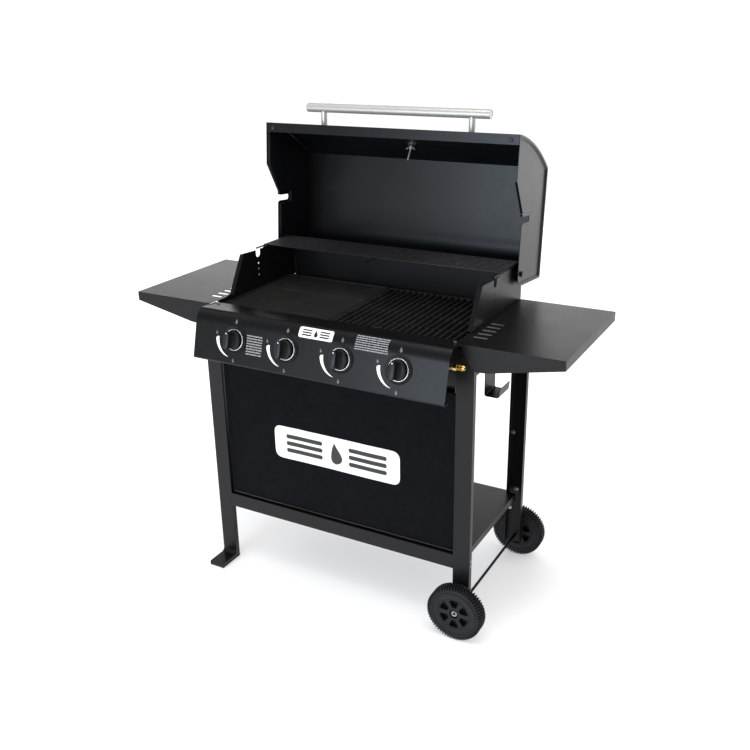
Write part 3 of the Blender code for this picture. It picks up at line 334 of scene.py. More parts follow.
WHEEL = moulded("wheel_polymer", (0.0055, 0.0061, 0.0064), (0.0090, 0.0098, 0.0102), 0.46, 0.58, 1500)
# the knob plastic is black, set darker still as painted shade on the grip's flanks; the knob face finish is
# a paler copy of it, painted highlight on the grip's face
KNOB = moulded("knob_polymer", (0.0040, 0.0040, 0.0044), (0.0060, 0.0060, 0.0066), 0.45, 0.55, 2400)
KNOB_FACE_HIGHLIGHT = moulded("knob_face_painted_highlight", (0.0120, 0.0128, 0.0150), (0.0170, 0.0180, 0.0205),
                    0.36, 0.46, 2400)
# near black and rough: painted shade for the wheels' pocket floors and hub recesses
POCKET_SHADE = moulded("black_bush", (0.0015, 0.0015, 0.0016), (0.0025, 0.0025, 0.0027), 0.80, 0.90, 1800)
# darker than the fabric itself and hardly glossy: the hem's roll, and painted shade in the gap under it
HEM_SHADE = moulded("hem_painted_shade", (0.0006, 0.0006, 0.0007), (0.0011, 0.0011, 0.0012), 0.85, 0.95, 1500, 0.03)
BRASS = brass()
FABRIC = weave("woven_polyester", (0.0018, 0.0023, 0.0032), (0.0048, 0.0055, 0.0068), 0.0011)
THREAD = weave("sewing_thread", (0.010, 0.011, 0.013), (0.018, 0.019, 0.022), 0.0006)
WHITE = printed("white_vinyl", (0.80, 0.80, 0.79), (0.86, 0.86, 0.85))
INK = printed("black_ink", (0.010, 0.010, 0.011), (0.016, 0.016, 0.017))
PALE_PRINT = printed("pale_print", (0.085, 0.088, 0.092), (0.13, 0.134, 0.138))
SMALL_PRINT = printed("small_print", (0.20, 0.21, 0.22), (0.30, 0.31, 0.32))
DIAL_FACE = printed("dial_face", (0.70, 0.70, 0.68), (0.78, 0.78, 0.76))
RED = printed("dial_red", (0.42, 0.030, 0.022), (0.50, 0.042, 0.030))
GLASS = clear_glass()


# ---------------------------------------------------------------- shapes
def arc(centre, radius, start, end, steps):
    """Points on a circle between two angles in degrees, both ends included."""
    points = []
    for step in range(steps + 1):
        angle = math.radians(start + (end - start) * step / steps)
        points.append((centre[0] + radius * math.cos(angle), centre[1] + radius * math.sin(angle)))
    return points


def circle(centre, radius, count=48):
    return arc(centre, radius, 0, 360, count)[:-1]


def rounded(points, radius, steps=5):
    """A polygon with each corner rounded by about the given radius."""
    made = []
    count = len(points)
    for index in range(count):
        corner = Vector(points[index])
        before = Vector(points[index - 1]) - corner
        after = Vector(points[(index + 1) % count]) - corner
        reach = min(radius, before.length * 0.45, after.length * 0.45)
        start = corner + before.normalized() * reach
        end = corner + after.normalized() * reach
        for step in range(steps + 1):
            t = step / steps
            made.append(tuple(start * (1 - t) ** 2 + corner * (2 * t * (1 - t)) + end * t * t))
    return made


def rectangle(low, high):
    return [(low[0], low[1]), (high[0], low[1]), (high[0], high[1]), (low[0], high[1])]


def moved(points, across, up):
    return [(a + across, b + up) for a, b in points]


def inset(points, distance):
    """A counter-clockwise polygon with each side moved inward by the same distance."""
    made = []
    for index, point in enumerate(points):
        corner = Vector(point)
        arriving = (corner - Vector(points[index - 1])).normalized()
        leaving = (Vector(points[(index + 1) % len(points)]) - corner).normalized()
        first = Vector((-arriving.y, arriving.x))
        second = Vector((-leaving.y, leaving.x))
        made.append(tuple(corner + (first + second) * distance / (1 + first.dot(second))))
    return made


def slab(outline, low, high, axis="z", holes=()):
    """A closed solid: an outline with holes, swept straight from low to high along one axis."""
    places = {
        "x": lambda a, b, w: (w, a, b),
        "y": lambda a, b, w: (a, w, b),
        "z": lambda a, b, w: (a, b, w),
    }
    place = places[axis]
    loops = [list(outline)] + [list(hole) for hole in holes]
    flat = [point for loop in loops for point in loop]
    shape = bmesh.new()
    near = [shape.verts.new(place(a, b, low)) for a, b in flat]
    far = [shape.verts.new(place(a, b, high)) for a, b in flat]
    if holes:
        for i, j, k in tessellate_polygon([[Vector((a, b, 0)) for a, b in loop] for loop in loops]):
            shape.faces.new((near[i], near[j], near[k]))
            shape.faces.new((far[k], far[j], far[i]))
    else:
        shape.faces.new(near)
        shape.faces.new(list(reversed(far)))
    start = 0
    for loop in loops:
        for step in range(len(loop)):
            i = start + step
            j = start + (step + 1) % len(loop)
            shape.faces.new((near[i], near[j], far[j], far[i]))
        start += len(loop)
    bmesh.ops.recalc_face_normals(shape, faces=shape.faces)
    return shape


def lathe(profile, segments=64, closed=False):
    """A solid turned about Z from (radius, height) points: from pole to pole, or a closed section."""
    shape = bmesh.new()
    rings = []
    for radius, height in profile:
        if radius < 1e-7:
            rings.append([shape.verts.new((0, 0, height))])
            continue
        rings.append([shape.verts.new((x, y, height)) for x, y in circle((0, 0), radius, segments)])
    pairs = list(zip(rings, rings[1:]))
    if closed:
        pairs.append((rings[-1], rings[0]))
    for one, other in pairs:
        for step in range(segments):
            after = (step + 1) % segments
            corners = [one[step % len(one)], one[after % len(one)]]
            corners += [other[after % len(other)], other[step % len(other)]]
            unique = list(dict.fromkeys(corners))
            if len(unique) > 2:
                shape.faces.new(unique)
    bmesh.ops.recalc_face_normals(shape, faces=shape.faces)
    return shape


def disc(radius, low, high, segments, bore=0.0):
    """A plain round disc or, with a bore, a ring."""
    return lathe([(bore, low), (radius, low), (radius, high), (bore, high)], segments, bore > 0)


def loft(rings, closed=False):
    """A closed solid through rings of points, with flat ends or, if closed, back to the first ring."""
    shape = bmesh.new()
    made = [[shape.verts.new(point) for point in ring] for ring in rings]
    count = len(made[0])
    pairs = list(zip(made, made[1:]))
    if closed:
        pairs.append((made[-1], made[0]))
    else:
        shape.faces.new(made[0])
        shape.faces.new(made[-1])
    for one, other in pairs:
        for step in range(count):
            after = (step + 1) % count
            shape.faces.new((one[step], one[after], other[after], other[step]))
    bmesh.ops.recalc_face_normals(shape, faces=shape.faces)
    return shape


def wire(points, radius, sides):
    """A round wire along points, with domed ends."""
    path = [Vector(point) for point in points]
    first = (path[1] - path[0]).normalized()
    last = (path[-1] - path[-2]).normalized()
    dome = ((0.45, 0.12), (0.85, 0.50), (1.0, 1.0))       # how wide and how far in, in radii
    stops = [(path[0] + first * radius * reach, first, size) for size, reach in dome]
    for before, place, after in zip(path, path[1:], path[2:]):
        stops.append((place, (after - before).normalized(), 1.0))
    stops += [(path[-1] - last * radius * reach, last, size) for size, reach in reversed(dome)]
    across = first.orthogonal().normalized()
    rings = []
    for place, along, size in stops:
        across = (across - along * across.dot(along)).normalized()
        other = along.cross(across)
        rings.append([place + across * x + other * y for x, y in circle((0, 0), radius * size, sides)])
    return loft(rings)


def turned(shape, matrix):
    shape.transform(matrix)
    return shape


def spun(shape, angle):
    return turned(shape, Matrix.Rotation(angle, 4, "Z"))


def together(shapes):
    """Several closed solids in one mesh."""
    base = shapes[0]
    for shape in shapes[1:]:
        mesh = bpy.data.meshes.new("part")
        shape.to_mesh(mesh)
        shape.free()
        base.from_mesh(mesh)
        bpy.data.meshes.remove(mesh)
    return base


def basis(place, outward, up=(0, 0, 1)):
    """A matrix whose Z runs outward and whose Y runs as near to up as it can."""
    z = Vector(outward).normalized()
    x = Vector(up).cross(z).normalized()
    y = z.cross(x)
    return Matrix.Translation(place) @ Matrix((x, y, z)).transposed().to_4x4()


# ---------------------------------------------------------------- pieces
def shade_smooth_group():
    """A node group that only turns smooth shading on, for CAD meshes that arrive faceted."""
    group = bpy.data.node_groups.new("shade_smooth", "GeometryNodeTree")
    group.interface.new_socket("Geometry", in_out="INPUT", socket_type="NodeSocketGeometry")
    group.interface.new_socket("Geometry", in_out="OUTPUT", socket_type="NodeSocketGeometry")
    start = group.nodes.new("NodeGroupInput")
    smooth = group.nodes.new("GeometryNodeSetShadeSmooth")
    end = group.nodes.new("NodeGroupOutput")
    group.links.new(start.outputs[0], smooth.inputs[0])
    group.links.new(smooth.outputs[0], end.inputs[0])
    return group


SMOOTH = shade_smooth_group()


def soften(thing, width, steps=2, angle=32):
    """Rounds the sharp edges, and keeps the broad faces flat in the shading."""
    if width:
        bevel = thing.modifiers.new("rounding", "BEVEL")
        bevel.width = width
        bevel.segments = steps
        bevel.limit_method = "ANGLE"
        bevel.angle_limit = math.radians(angle)
        bevel.use_clamp_overlap = True
    smooth = thing.modifiers.new("smooth", "NODES")
    smooth.node_group = SMOOTH
    normals = thing.modifiers.new("normals", "WEIGHTED_NORMAL")
    normals.mode = "FACE_AREA"
    normals.weight = 90
    normals.keep_sharp = False


def coat_nodes(names, finish, width=0.0005, steps=2):
    """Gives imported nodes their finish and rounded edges."""
    for name in names:
        node = NODES[name]
        for index in range(len(node.data.materials)):
            node.data.materials[index] = finish
        weld = node.modifiers.new("weld", "WELD")
        weld.merge_threshold = 0.00002
        flat = node.modifiers.new("flat_faces", "DECIMATE")
        flat.decimate_type = "DISSOLVE"
        flat.angle_limit = math.radians(0.3)
        soften(node, width, steps)


def piece(name, shape, finish, body, matrix=None, width=0.0, steps=2, angle=32):
    """A new piece that rides on a CAD body."""
    if matrix is not None:
        shape.transform(matrix)
    mesh = bpy.data.meshes.new(name)
    shape.to_mesh(mesh)
    shape.free()
    mesh.materials.append(finish)
    made = bpy.data.objects.new(name, mesh)
    bpy.context.scene.collection.objects.link(made)
    if width:
        soften(made, width, steps, angle)
    else:
        mesh.shade_smooth()
        mesh.set_sharp_from_angle(angle=math.radians(angle))
    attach(made, body)
    return made


# ---------------------------------------------------------------- screws
def cross_outline(reach, half):
    return [(reach, -half), (reach, half), (half, half), (half, reach), (-half, reach), (-half, half),
            (-reach, half), (-reach, -half), (-half, -half), (-half, -reach), (half, -reach), (half, -half)]


def screw_shape(radius, height):
    """A pan head with a cross recess, standing on Z = 0."""
    floor = height * 0.45                # of the recess
    base = slab(circle((0, 0), radius, 28), 0, floor)
    recess = cross_outline(radius * 0.52, radius * 0.13)
    dome = slab(circle((0, 0), radius, 28), floor, height, "z", [recess])
    for vert in dome.verts:
        if vert.co.z > floor and math.hypot(vert.co.x, vert.co.y) > radius * 0.9:
            vert.co.x *= 0.80
            vert.co.y *= 0.80
    return together([base, dome])


def screw(name, place, outward, radius=0.0045, height=0.0026, finish=COAT):
    piece(name, screw_shape(radius, height), finish, "cart", basis(place, outward), 0.0004)


def bolt_head(name, place, outward, radius, height, finish=COAT):
    """A hexagon head on a washer."""
    thick = 0.0010
    washer = disc(radius * 1.35, 0, thick, 32)
    head = slab(circle((0, 0), radius, 6), thick, height)
    piece(name, together([washer, head]), finish, "cart", basis(place, outward), 0.0004)


# ---------------------------------------------------------------- wheels and axle
LUGS = 60                            # in each row
BLOCK_LENGTH, BLOCK_WIDTH, BLOCK_DEPTH = 0.0062, 0.0042, 0.0060
ROW_PITCH = 0.0080
SHOULDER_LUG = (                     # inner and outer reach, half width, distance in from the side
    (-0.0090, -0.0080, 0.0016, 0.0040, 0.0080),
    (-0.0064, -0.0040, 0.0017, 0.0002, 0.0080),
    (0.0018, 0.0018, 0.0017, 0.0022, 0.0090),
)
SPOKES = 6
BORE = 0.0045
HUB_HALF = 0.0080                    # half the hub's length, inside its recess


def mirrored_profile(half_profile):
    """A closed section from the points on its outer side, which run outward from the bore."""
    return half_profile + [(radius, -height) for radius, height in reversed(half_profile)]


def tread_block(angle, radius, centre):
    """One tapered block of tread, on a wheel that turns about Z."""
    foot, top = radius - BLOCK_DEPTH, math.sqrt(radius * radius - (BLOCK_WIDTH * 0.42) ** 2)
    corners = rectangle((-BLOCK_LENGTH / 2, -BLOCK_WIDTH / 2), (BLOCK_LENGTH / 2, BLOCK_WIDTH / 2))
    rings = []
    for level, share in ((foot, 1.0), (top - 0.0004, 0.86), (top, 0.78)):
        rings.append([(level, across * share, centre + along * share) for along, across in corners])
    return spun(loft(rings), angle)


def shoulder_lug(angle, edge, half, side):
    """One lug that runs from the tread down the side of the tyre."""
    rings = []
    for inner, outer, half_wide, near, far in SHOULDER_LUG:
        front, back = side * (half - near), side * (half - far)
        rings.append([(edge + inner, -half_wide, front), (edge + inner, half_wide, front),
                      (edge + outer, half_wide, back), (edge + outer, -half_wide, back)])
    return spun(loft(rings), angle)


def make_tyre(name, place, radius, half, face):
    """A tyre with four rows of blocks and a ring of lugs on each shoulder."""
    blocks = [lathe(mirrored_profile([
        (0.0435, face - 0.0040), (0.0435, face), (0.0462, face), (0.0475, face + 0.0006),
        (0.0590, face + 0.0010), (0.0600, face + 0.0024), (0.0616, face + 0.0026), (0.0628, face + 0.0012),
        (0.0660, face + 0.0014), (0.0690, half - 0.0016), (0.0712, half - 0.0024),
        (radius - 0.0052, half - 0.0068),
    ]), 120, True)]
    step = 2 * math.pi / LUGS
    for row in (-1.5, -0.5, 0.5, 1.5):
        offset = 0.5 if abs(row) < 1 else 0
        blocks += [tread_block((index + offset) * step, radius, row * ROW_PITCH) for index in range(LUGS)]
    for side in (-1, 1):
        blocks += [shoulder_lug(index * step, radius - 0.0030, half, side) for index in range(LUGS)]
    piece(name + "_tyre", together(blocks), WHEEL, name, place, angle=28)


def pocket(middle):
    """The outline of a pocket between two spokes, its four corners cut twice."""
    outer = arc((0, 0), 0.0410, middle - 20, middle + 20, 10)
    inner = arc((0, 0), 0.0195, middle + 16, middle - 16, 6)

    def corner(point, beside, along):
        point = Vector(point)
        side = (Vector(beside) - point).normalized()
        return [tuple(point + side * 0.0030), tuple(point + side * 0.0011 + (Vector(along) - point) * 0.18)]

    made = []
    for line, other in ((outer, inner), (inner, outer)):
        made += corner(line[0], other[-1], line[1]) + line[1:-1]
        made += reversed(corner(line[-1], other[0], line[-2]))
    return made


def make_spider(name, place, face):
    """Wide flat spokes between closed pockets, and a hub; the web between the pockets and a disc in the
    hub's recess are near black, painted shade in the pockets and the recess.
    """
    holes = [circle((0, 0), 0.0125, 40)]
    holes += [pocket((spoke + 0.5) * 360 / SPOKES) for spoke in range(SPOKES)]
    faces = slab(circle((0, 0), 0.0445, 96), -face, face, "z", holes)
    core = disc(0.0135, -HUB_HALF, HUB_HALF, 48, BORE)
    spider = piece(name + "_spider", together([faces, core]), WHEEL, name, place, 0.0009, 3)
    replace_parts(spider, name)
    # the web is coloured near black as painted shade on the pockets' floors
    web = slab(circle((0, 0), 0.0440, 64), -0.0015, 0.0015)
    piece(name + "_web", web, POCKET_SHADE, name, place, angle=24)
    # a near-black disc in the hub's recess, painted shade there
    shade_disc = disc(0.0118, HUB_HALF - 0.0002, HUB_HALF + 0.0004, 48, BORE)
    piece(name + "_bush", shade_disc, POCKET_SHADE, name, place, angle=24)


def make_axle_cap(name, place):
    """A bright cap with a dark plug, on the end of the axle."""
    cap = lathe([
        (0.0042, -0.0001), (0.0074, -0.0001), (0.0080, 0.0006), (0.0079, 0.0034), (0.0068, 0.0048),
        (0.0058, 0.0046), (0.0048, 0.0030), (0, 0.0028), (0, 0.0012), (0.0040, 0.0010),
    ], 48)
    piece(name + "_cap", cap, CHROME, "cart", place, angle=24)
    plug = lathe([(0, 0.0027), (0.0047, 0.0027), (0.0044, 0.0042), (0.0032, 0.0050), (0, 0.0052)], 32)
    piece(name + "_cap_plug", plug, INK, "cart", place, angle=24)


def make_wheel(name, end):
    low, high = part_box(name)
    centre = (low + high) / 2
    half = (high.y - low.y) / 2
    face = half - 0.0040                 # of the spokes
    place = basis(centre, (0, end, 0))
    make_tyre(name, place, (high.z - low.z) / 2, half, face)
    make_spider(name, place, face)
    axle_low, axle_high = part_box("axle")
    tip = axle_low.y if end < 0 else axle_high.y
    make_axle_cap(name, basis((centre.x, tip - end * 0.0062, centre.z), (0, end, 0)))


def make_axle():
    low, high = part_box("axle")
    centre = (low + high) / 2
    reach = (high.y - low.y) / 2 - 0.0035
    rod_radius = 0.0039
    shaft = lathe([
        (0, -reach), (rod_radius - 0.0008, -reach), (rod_radius, -reach + 0.0008),
        (rod_radius, reach - 0.0008), (rod_radius - 0.0008, reach), (0, reach),
    ], 32)
    made = piece("axle_rod", shaft, AXLE_STEEL, "cart", basis(centre, (0, -1, 0)))
    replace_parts(made, "axle")


# ---------------------------------------------------------------- fabric panel
FABRIC_LOW, FABRIC_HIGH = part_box("fabric_panel")
ROD_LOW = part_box("fabric_bottom_rod")
ROD_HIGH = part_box("fabric_top_rod")
ROD_Y = (ROD_LOW[0].y + ROD_LOW[1].y) / 2
HEM_LOW = (ROD_LOW[0].z + ROD_LOW[1].z) / 2
HEM_HIGH = (ROD_HIGH[0].z + ROD_HIGH[1].z) / 2
CLOTH_THICK = 0.0010
CLOTH_TURN = 0.0038                  # radius of the cloth round a rod
CLOTH_TAIL = 0.012                   # turned back behind each rod
STITCH_PITCH, STITCH_LENGTH, THREAD_RADIUS = 0.0042, 0.0029, 0.00028
LABEL_GAP = 0.0001                   # between a surface and what is printed on it


def fabric_front(x, z):
    """Y of the front of the stretched panel: faint upright folds, and pulls towards the corners."""
    low, high = ROD_LOW[0].z, ROD_HIGH[1].z
    up = min(1.0, max(0.0, (z - low) / (high - low)))
    free = math.sin(math.pi * up) ** 0.7 if 0 < up < 1 else 0.0
    folds = noise.noise(Vector((x * 9.0, 3.1, z * 1.1))) * 0.9
    folds += noise.noise(Vector((x * 21.0 + z * 3.0, 8.4, z * 2.0))) * 0.45
    folds += noise.noise(Vector((x * 6.0 - z * 5.0, 1.7, z * 5.0))) * 0.6
    edge = min(1.0, (FABRIC_HIGH.x - abs(x)) / 0.03)
    return FABRIC_LOW.y + 0.0011 - 0.0014 * folds * free * (0.35 + 0.65 * edge)


def make_fabric_sheet():
    columns, rows = 150, 90
    below = [(ROD_Y + CLOTH_TURN, HEM_LOW + CLOTH_TAIL * (1 - step / 3)) for step in range(3)]
    below += arc((ROD_Y, HEM_LOW), CLOTH_TURN, 0, -160, 8)
    levels = [HEM_LOW + (HEM_HIGH - HEM_LOW) * step / rows for step in range(rows + 1)]
    above = arc((ROD_Y, HEM_HIGH), CLOTH_TURN, 160, 0, 8)
    above += [(ROD_Y + CLOTH_TURN, HEM_HIGH - CLOTH_TAIL * step / 3) for step in range(1, 4)]
    shape = bmesh.new()
    grid = []
    for column in range(columns + 1):
        x = FABRIC_LOW.x + (FABRIC_HIGH.x - FABRIC_LOW.x) * column / columns
        front = [(fabric_front(x, z) + CLOTH_THICK / 2, z) for z in levels]
        grid.append([shape.verts.new((x, y, z)) for y, z in below + front + above])
    for one, other in zip(grid, grid[1:]):
        for step in range(len(one) - 1):
            shape.faces.new((one[step], other[step], other[step + 1], one[step + 1]))
    bmesh.ops.recalc_face_normals(shape, faces=shape.faces)
    made = piece("fabric_sheet", shape, FABRIC, "cart", angle=60)
    thick = made.modifiers.new("thickness", "SOLIDIFY")
    thick.thickness = CLOTH_THICK
    thick.offset = 0
    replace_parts(made, "fabric_panel")
    return made


def make_stitching():
    """Two rows of stitches along each hem and one down each side."""
    stitches = []
    reach = STITCH_LENGTH / 2
    for z in (HEM_LOW + 0.0125, HEM_LOW + 0.0150, HEM_HIGH - 0.0125, HEM_HIGH - 0.0150):
        for index in range(int((FABRIC_HIGH.x - FABRIC_LOW.x) / STITCH_PITCH)):
            x = FABRIC_LOW.x + STITCH_PITCH * (index + 0.5)
            y = fabric_front(x, z) - LABEL_GAP
            stitches.append(stitch((x - reach, y, z), (x + reach, y, z)))
    for x in (FABRIC_LOW.x + 0.0060, FABRIC_HIGH.x - 0.0060):
        for index in range(int((HEM_HIGH - HEM_LOW) / STITCH_PITCH) - 1):
            z = HEM_LOW + STITCH_PITCH * (index + 1)
            y = fabric_front(x, z) - LABEL_GAP
            stitches.append(stitch((x, y, z - reach), (x, y, z + reach)))
    return piece("fabric_stitching", together(stitches), THREAD, "cart", angle=80)


def make_side_hems():
    width, short, steps = 0.011, 0.004, 60
    hems = []
    for edge, inner in ((FABRIC_LOW.x, FABRIC_LOW.x + width), (FABRIC_HIGH.x, FABRIC_HIGH.x - width)):
        rings = []
        for step in range(steps + 1):
            z = HEM_LOW + short + (HEM_HIGH - HEM_LOW - 2 * short) * step / steps
            face = fabric_front(edge, z)
            near = fabric_front(inner, z)
            rings.append([(edge, face - 0.0007, z), (edge, face + 0.0002, z),
                          (inner, near + 0.0002, z), (inner, near - 0.0005, z)])
        hems.append(loft(rings))
    return piece("fabric_side_hems", together(hems), FABRIC, "cart", angle=50)


def make_fabric():
    made = make_fabric_sheet()
    seams = make_stitching()
    hem = make_side_hems()
    badge = make_fabric_badge()


def stitch(start, end):
    first, last = Vector(start), Vector(end)
    along = (last - first) / 4
    side = along.cross(Vector((0, 1, 0))).normalized()
    out = Vector((0, -1, 0))
    section = circle((0, 0), THREAD_RADIUS, 5)
    rings = []
    for step, size, lift in ((0, 0.4, 0.2), (1, 1.0, 0.9), (3, 1.0, 0.9), (4, 0.4, 0.2)):
        middle = first + along * step + out * THREAD_RADIUS * lift
        rings.append([middle + side * x * size + out * y * size for x, y in section])
    return loft(rings)


def flame_outline(height, steps=24):
    """A plain teardrop flame, its foot at the origin."""
    half = height * 0.30
    right, left = [], []
    for step in range(steps + 1):
        t = step / steps
        wide = math.sin(math.pi * t ** 0.62) * (1 - 0.25 * t) * half
        lean = 0.16 * half * math.sin(t * 5.2)
        right.append((lean + wide, t * height))
        left.append((lean - wide, t * height))
    return right + left[-2:0:-1]


def draped_slab(outline, place, thickness, step):
    """A thin closed piece that follows a surface: place(a, b, lift) gives a point on it."""
    flat = slab(outline, 0, 1)
    low_a, high_a = min(p[0] for p in outline), max(p[0] for p in outline)
    low_b, high_b = min(p[1] for p in outline), max(p[1] for p in outline)
    for low, high, normal in ((low_a, high_a, (1, 0, 0)), (low_b, high_b, (0, 1, 0))):
        count = int((high - low) / step)
        for index in range(1, count + 1):
            cut = low + (high - low) * index / (count + 1)
            geometry = list(flat.verts) + list(flat.edges) + list(flat.faces)
            bmesh.ops.bisect_plane(flat, geom=geometry, plane_co=Vector(normal) * cut, plane_no=normal)
    for vert in flat.verts:
        vert.co = Vector(place(vert.co.x, vert.co.y, vert.co.z * thickness))
    bmesh.ops.recalc_face_normals(flat, faces=flat.faces)
    return flat


def label(name, shapes, finish, slot="black_powder_coat"):
    """Something printed on the cart or stuck to it."""
    return piece(name, together(shapes), finish, "cart", angle=40)


def badge_marks(place, height, bar, spread, thick, flame_step, bar_step):
    """A plain flame between six bars: bar gives near and far ends, half height, corner and its steps."""
    near, far, half_bar, corner, steps = bar
    marks = [draped_slab(moved(flame_outline(height), 0, -height / 2), place, thick, flame_step)]
    for side in (-1, 1):
        for level in (-spread, 0.0, spread):
            outline = rounded(rectangle((near, level - half_bar), (far, level + half_bar)), corner, steps)
            marks.append(draped_slab([(side * a, b) for a, b in outline], place, thick, bar_step))
    return marks


def on_fabric(x, z, base=0.0):
    """Gives a place function for shapes drawn round a point of the fabric."""
    def place(a, b, lift):
        return (x + a, fabric_front(x + a, z + b) - LABEL_GAP - base - lift, z + b)
    return place


def make_fabric_badge():
    """A white rounded plate of vinyl with a plain flame between grill bars."""
    x, z, thick = 0.004, 0.432, 0.0006
    plate = rounded(rectangle((-0.1975, -0.049), (0.1975, 0.049)), 0.024, 10)
    white = label("panel_badge", [draped_slab(plate, on_fabric(x, z), thick, 0.012)], WHITE, "woven_fabric")
    marks = badge_marks(on_fabric(x, z, thick), 0.064, (0.042, 0.158, 0.0062, 0.0058, 5), 0.021,
                        0.0003, 0.006, 0.012)
    return [white, label("panel_badge_mark", marks, INK, "woven_fabric")]


def make_fabric_rods():
    for name in ("fabric_bottom_rod", "fabric_top_rod"):
        low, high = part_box(name)
        middle = (low + high) / 2
        rod = wire([(low.x, middle.y, middle.z), (high.x, middle.y, middle.z)], (high.z - low.z) / 2, 20)
        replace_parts(piece(name + "_bar", rod, AXLE_STEEL, "cart"), name)
    low, high = ROD_LOW
    sleeve = wire([(low.x + reach, ROD_Y, HEM_LOW) for reach in (0.0002, 0.004, 0.007)],
                  (high.z - low.z) / 2 + 0.0006, 20)
    piece("fabric_rod_end", sleeve, ZINC, "cart")


def make_hem_bead():
    """A soft bead that closes the gap between the fabric's hem and the front rail, coloured near black with
    hardly any gloss: the hem's roll, and painted shade in the gap.
    """
    front, shelf_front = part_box("front_rail")[0].y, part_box("bottom_shelf")[0].y - 0.0001
    rail_top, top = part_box("front_rail")[1].z + 0.0003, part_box("bottom_shelf")[1].z
    back = ROD_LOW[0].y - 0.0023
    profile = [(front + 0.0003, rail_top), (front + 0.0001, top + 0.0006), (front + 0.0005, top + 0.0028),
               (front + 0.0020, top + 0.0041), (front + 0.0045, top + 0.0044), (back, top + 0.0038),
               (back, top + 0.0001), (shelf_front, top + 0.0001), (shelf_front, rail_top)]
    bead = slab(profile, FABRIC_LOW.x + 0.0001, FABRIC_HIGH.x - 0.0001, "x")
    piece("hem_bead", bead, HEM_SHADE, "cart")


# ---------------------------------------------------------------- cooking surface
def make_hotplate():
    low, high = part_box("hotplate")
    rim = 0.006
    floor = high.z - 0.004
    overlap = floor - 0.0005
    outline = rounded(rectangle(low.xy, high.xy), 0.006, 5)
    hollow = rounded(rectangle((low.x + rim, low.y + rim), (high.x - rim, high.y - rim)), 0.008, 5)
    step_y = low.y + (high.y - low.y) * 0.615
    step = rectangle((low.x + rim - 0.001, step_y), (high.x - rim + 0.001, high.y - rim + 0.001))
    drain = lathe([(0.0100, -0.0002), (0.0125, 0.0006), (0.0150, 0.0002), (0.0152, -0.0006),
                   (0.0100, -0.0006)], 48, True)
    drain_place = ((low.x + high.x) / 2 - 0.010, low.y + 0.0260, floor)
    parts = [slab(outline, low.z, floor), slab(outline, overlap, high.z, "z", [hollow]),
             slab(rounded(step, 0.003, 3), overlap, floor + 0.0018),
             turned(drain, Matrix.Translation(drain_place))]
    made = piece("hotplate_casting", together(parts), HOTPLATE, "cart", width=0.0010, steps=3)
    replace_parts(made, "hotplate")


def make_grill():
    low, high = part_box("grill")
    border, margin, bars = 0.006, 0.003, 20
    foot = low.z + 0.002
    inner = rectangle((low.x + border, low.y + border), (high.x - border, high.y - border))
    parts = [slab(rounded(rectangle(low.xy, high.xy), 0.004, 4), foot, high.z - 0.0010, "z", [inner])]
    half_top, half_foot = 0.0021, 0.0030
    section = [(-half_foot, foot), (half_foot, foot), (half_foot, high.z - 0.008),
               (half_top, high.z - 0.0004), (0, high.z), (-half_top, high.z - 0.0004),
               (-half_foot, high.z - 0.008)]
    pitch = (high.x - low.x - 2 * margin) / bars
    for index in range(bars):
        bar = moved(section, low.x + margin + pitch * (index + 0.5), 0)
        parts.append(slab(bar, low.y + margin, high.y - margin, "y"))
    for share in (0.25, 0.5, 0.75):
        y = low.y + (high.y - low.y) * share
        cross = rectangle((y - 0.0025, foot), (y + 0.0025, high.z - 0.0065))
        parts.append(slab(cross, low.x + margin, high.x - margin, "x"))
    tab_x = low.x + (high.x - low.x) * 0.36
    tab = rounded(rectangle((tab_x - 0.016, low.y + 0.004), (tab_x + 0.016, low.y + 0.024)), 0.004, 4)
    parts.append(slab(tab, high.z - 0.004, high.z - 0.0002))
    for x in (low.x + border, high.x - border):
        for y in (low.y + border, high.y - border):
            parts.append(slab(circle((x, y), 0.0045, 16), low.z, foot + 0.002))
    made = piece("grill_casting", together(parts), IRON, "cart", width=0.0007)
    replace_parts(made, "grill")


def make_warming_rack():
    low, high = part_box("warming_rack")
    radius, thin, wires = 0.0024, 0.00216, 11
    base = low.z + radius
    parts = [wire([(x, low.y, base), (x, 0, base), (x, high.y, base)], radius, 14)
             for x in (low.x + 0.0045, 0.0, high.x - 0.0045)]
    for index in range(wires):
        y = low.y + 0.004 + (high.y - low.y - 0.008) * index / (wires - 1)
        parts.append(wire([(low.x, y, base + thin), (high.x, y, base + thin)], thin, 14))
    made = piece("warming_rack_wires", together(parts), WIRE, "cart", angle=50)
    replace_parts(made, "warming_rack")


# ---------------------------------------------------------------- control panel
KNOB_SEATS = {number: Vector(JOINTS[f"knob_{number}_turn"]["pos_m"]) for number in STATIONS}
FASCIA_OUT = Vector(JOINTS["knob_1_turn"]["axis"]).normalized()
FASCIA_UP = Vector((0, FASCIA_OUT.z, -FASCIA_OUT.y))
FLAT_ABOVE = 0.0338                  # flat panel above a knob's axis, before it curves back
FASCIA_BEND = 0.052                  # radius of that curve


def on_panel(x=0.0, up=0.0, base=0.0):
    """Gives a place function for shapes drawn round a point of the panel, up from the knobs' row."""
    def place(a, b, lift):
        high, out = up + b, LABEL_GAP + base + lift
        if high <= FLAT_ABOVE:
            point = KNOB_SEATS[1] + FASCIA_UP * high + FASCIA_OUT * out
        else:
            turn = (high - FLAT_ABOVE) / FASCIA_BEND
            centre = KNOB_SEATS[1] + FASCIA_UP * FLAT_ABOVE - FASCIA_OUT * FASCIA_BEND
            normal = FASCIA_OUT * math.cos(turn) + FASCIA_UP * math.sin(turn)
            point = centre + normal * (FASCIA_BEND + out)
        return (x + a, point.y, point.z)
    return place


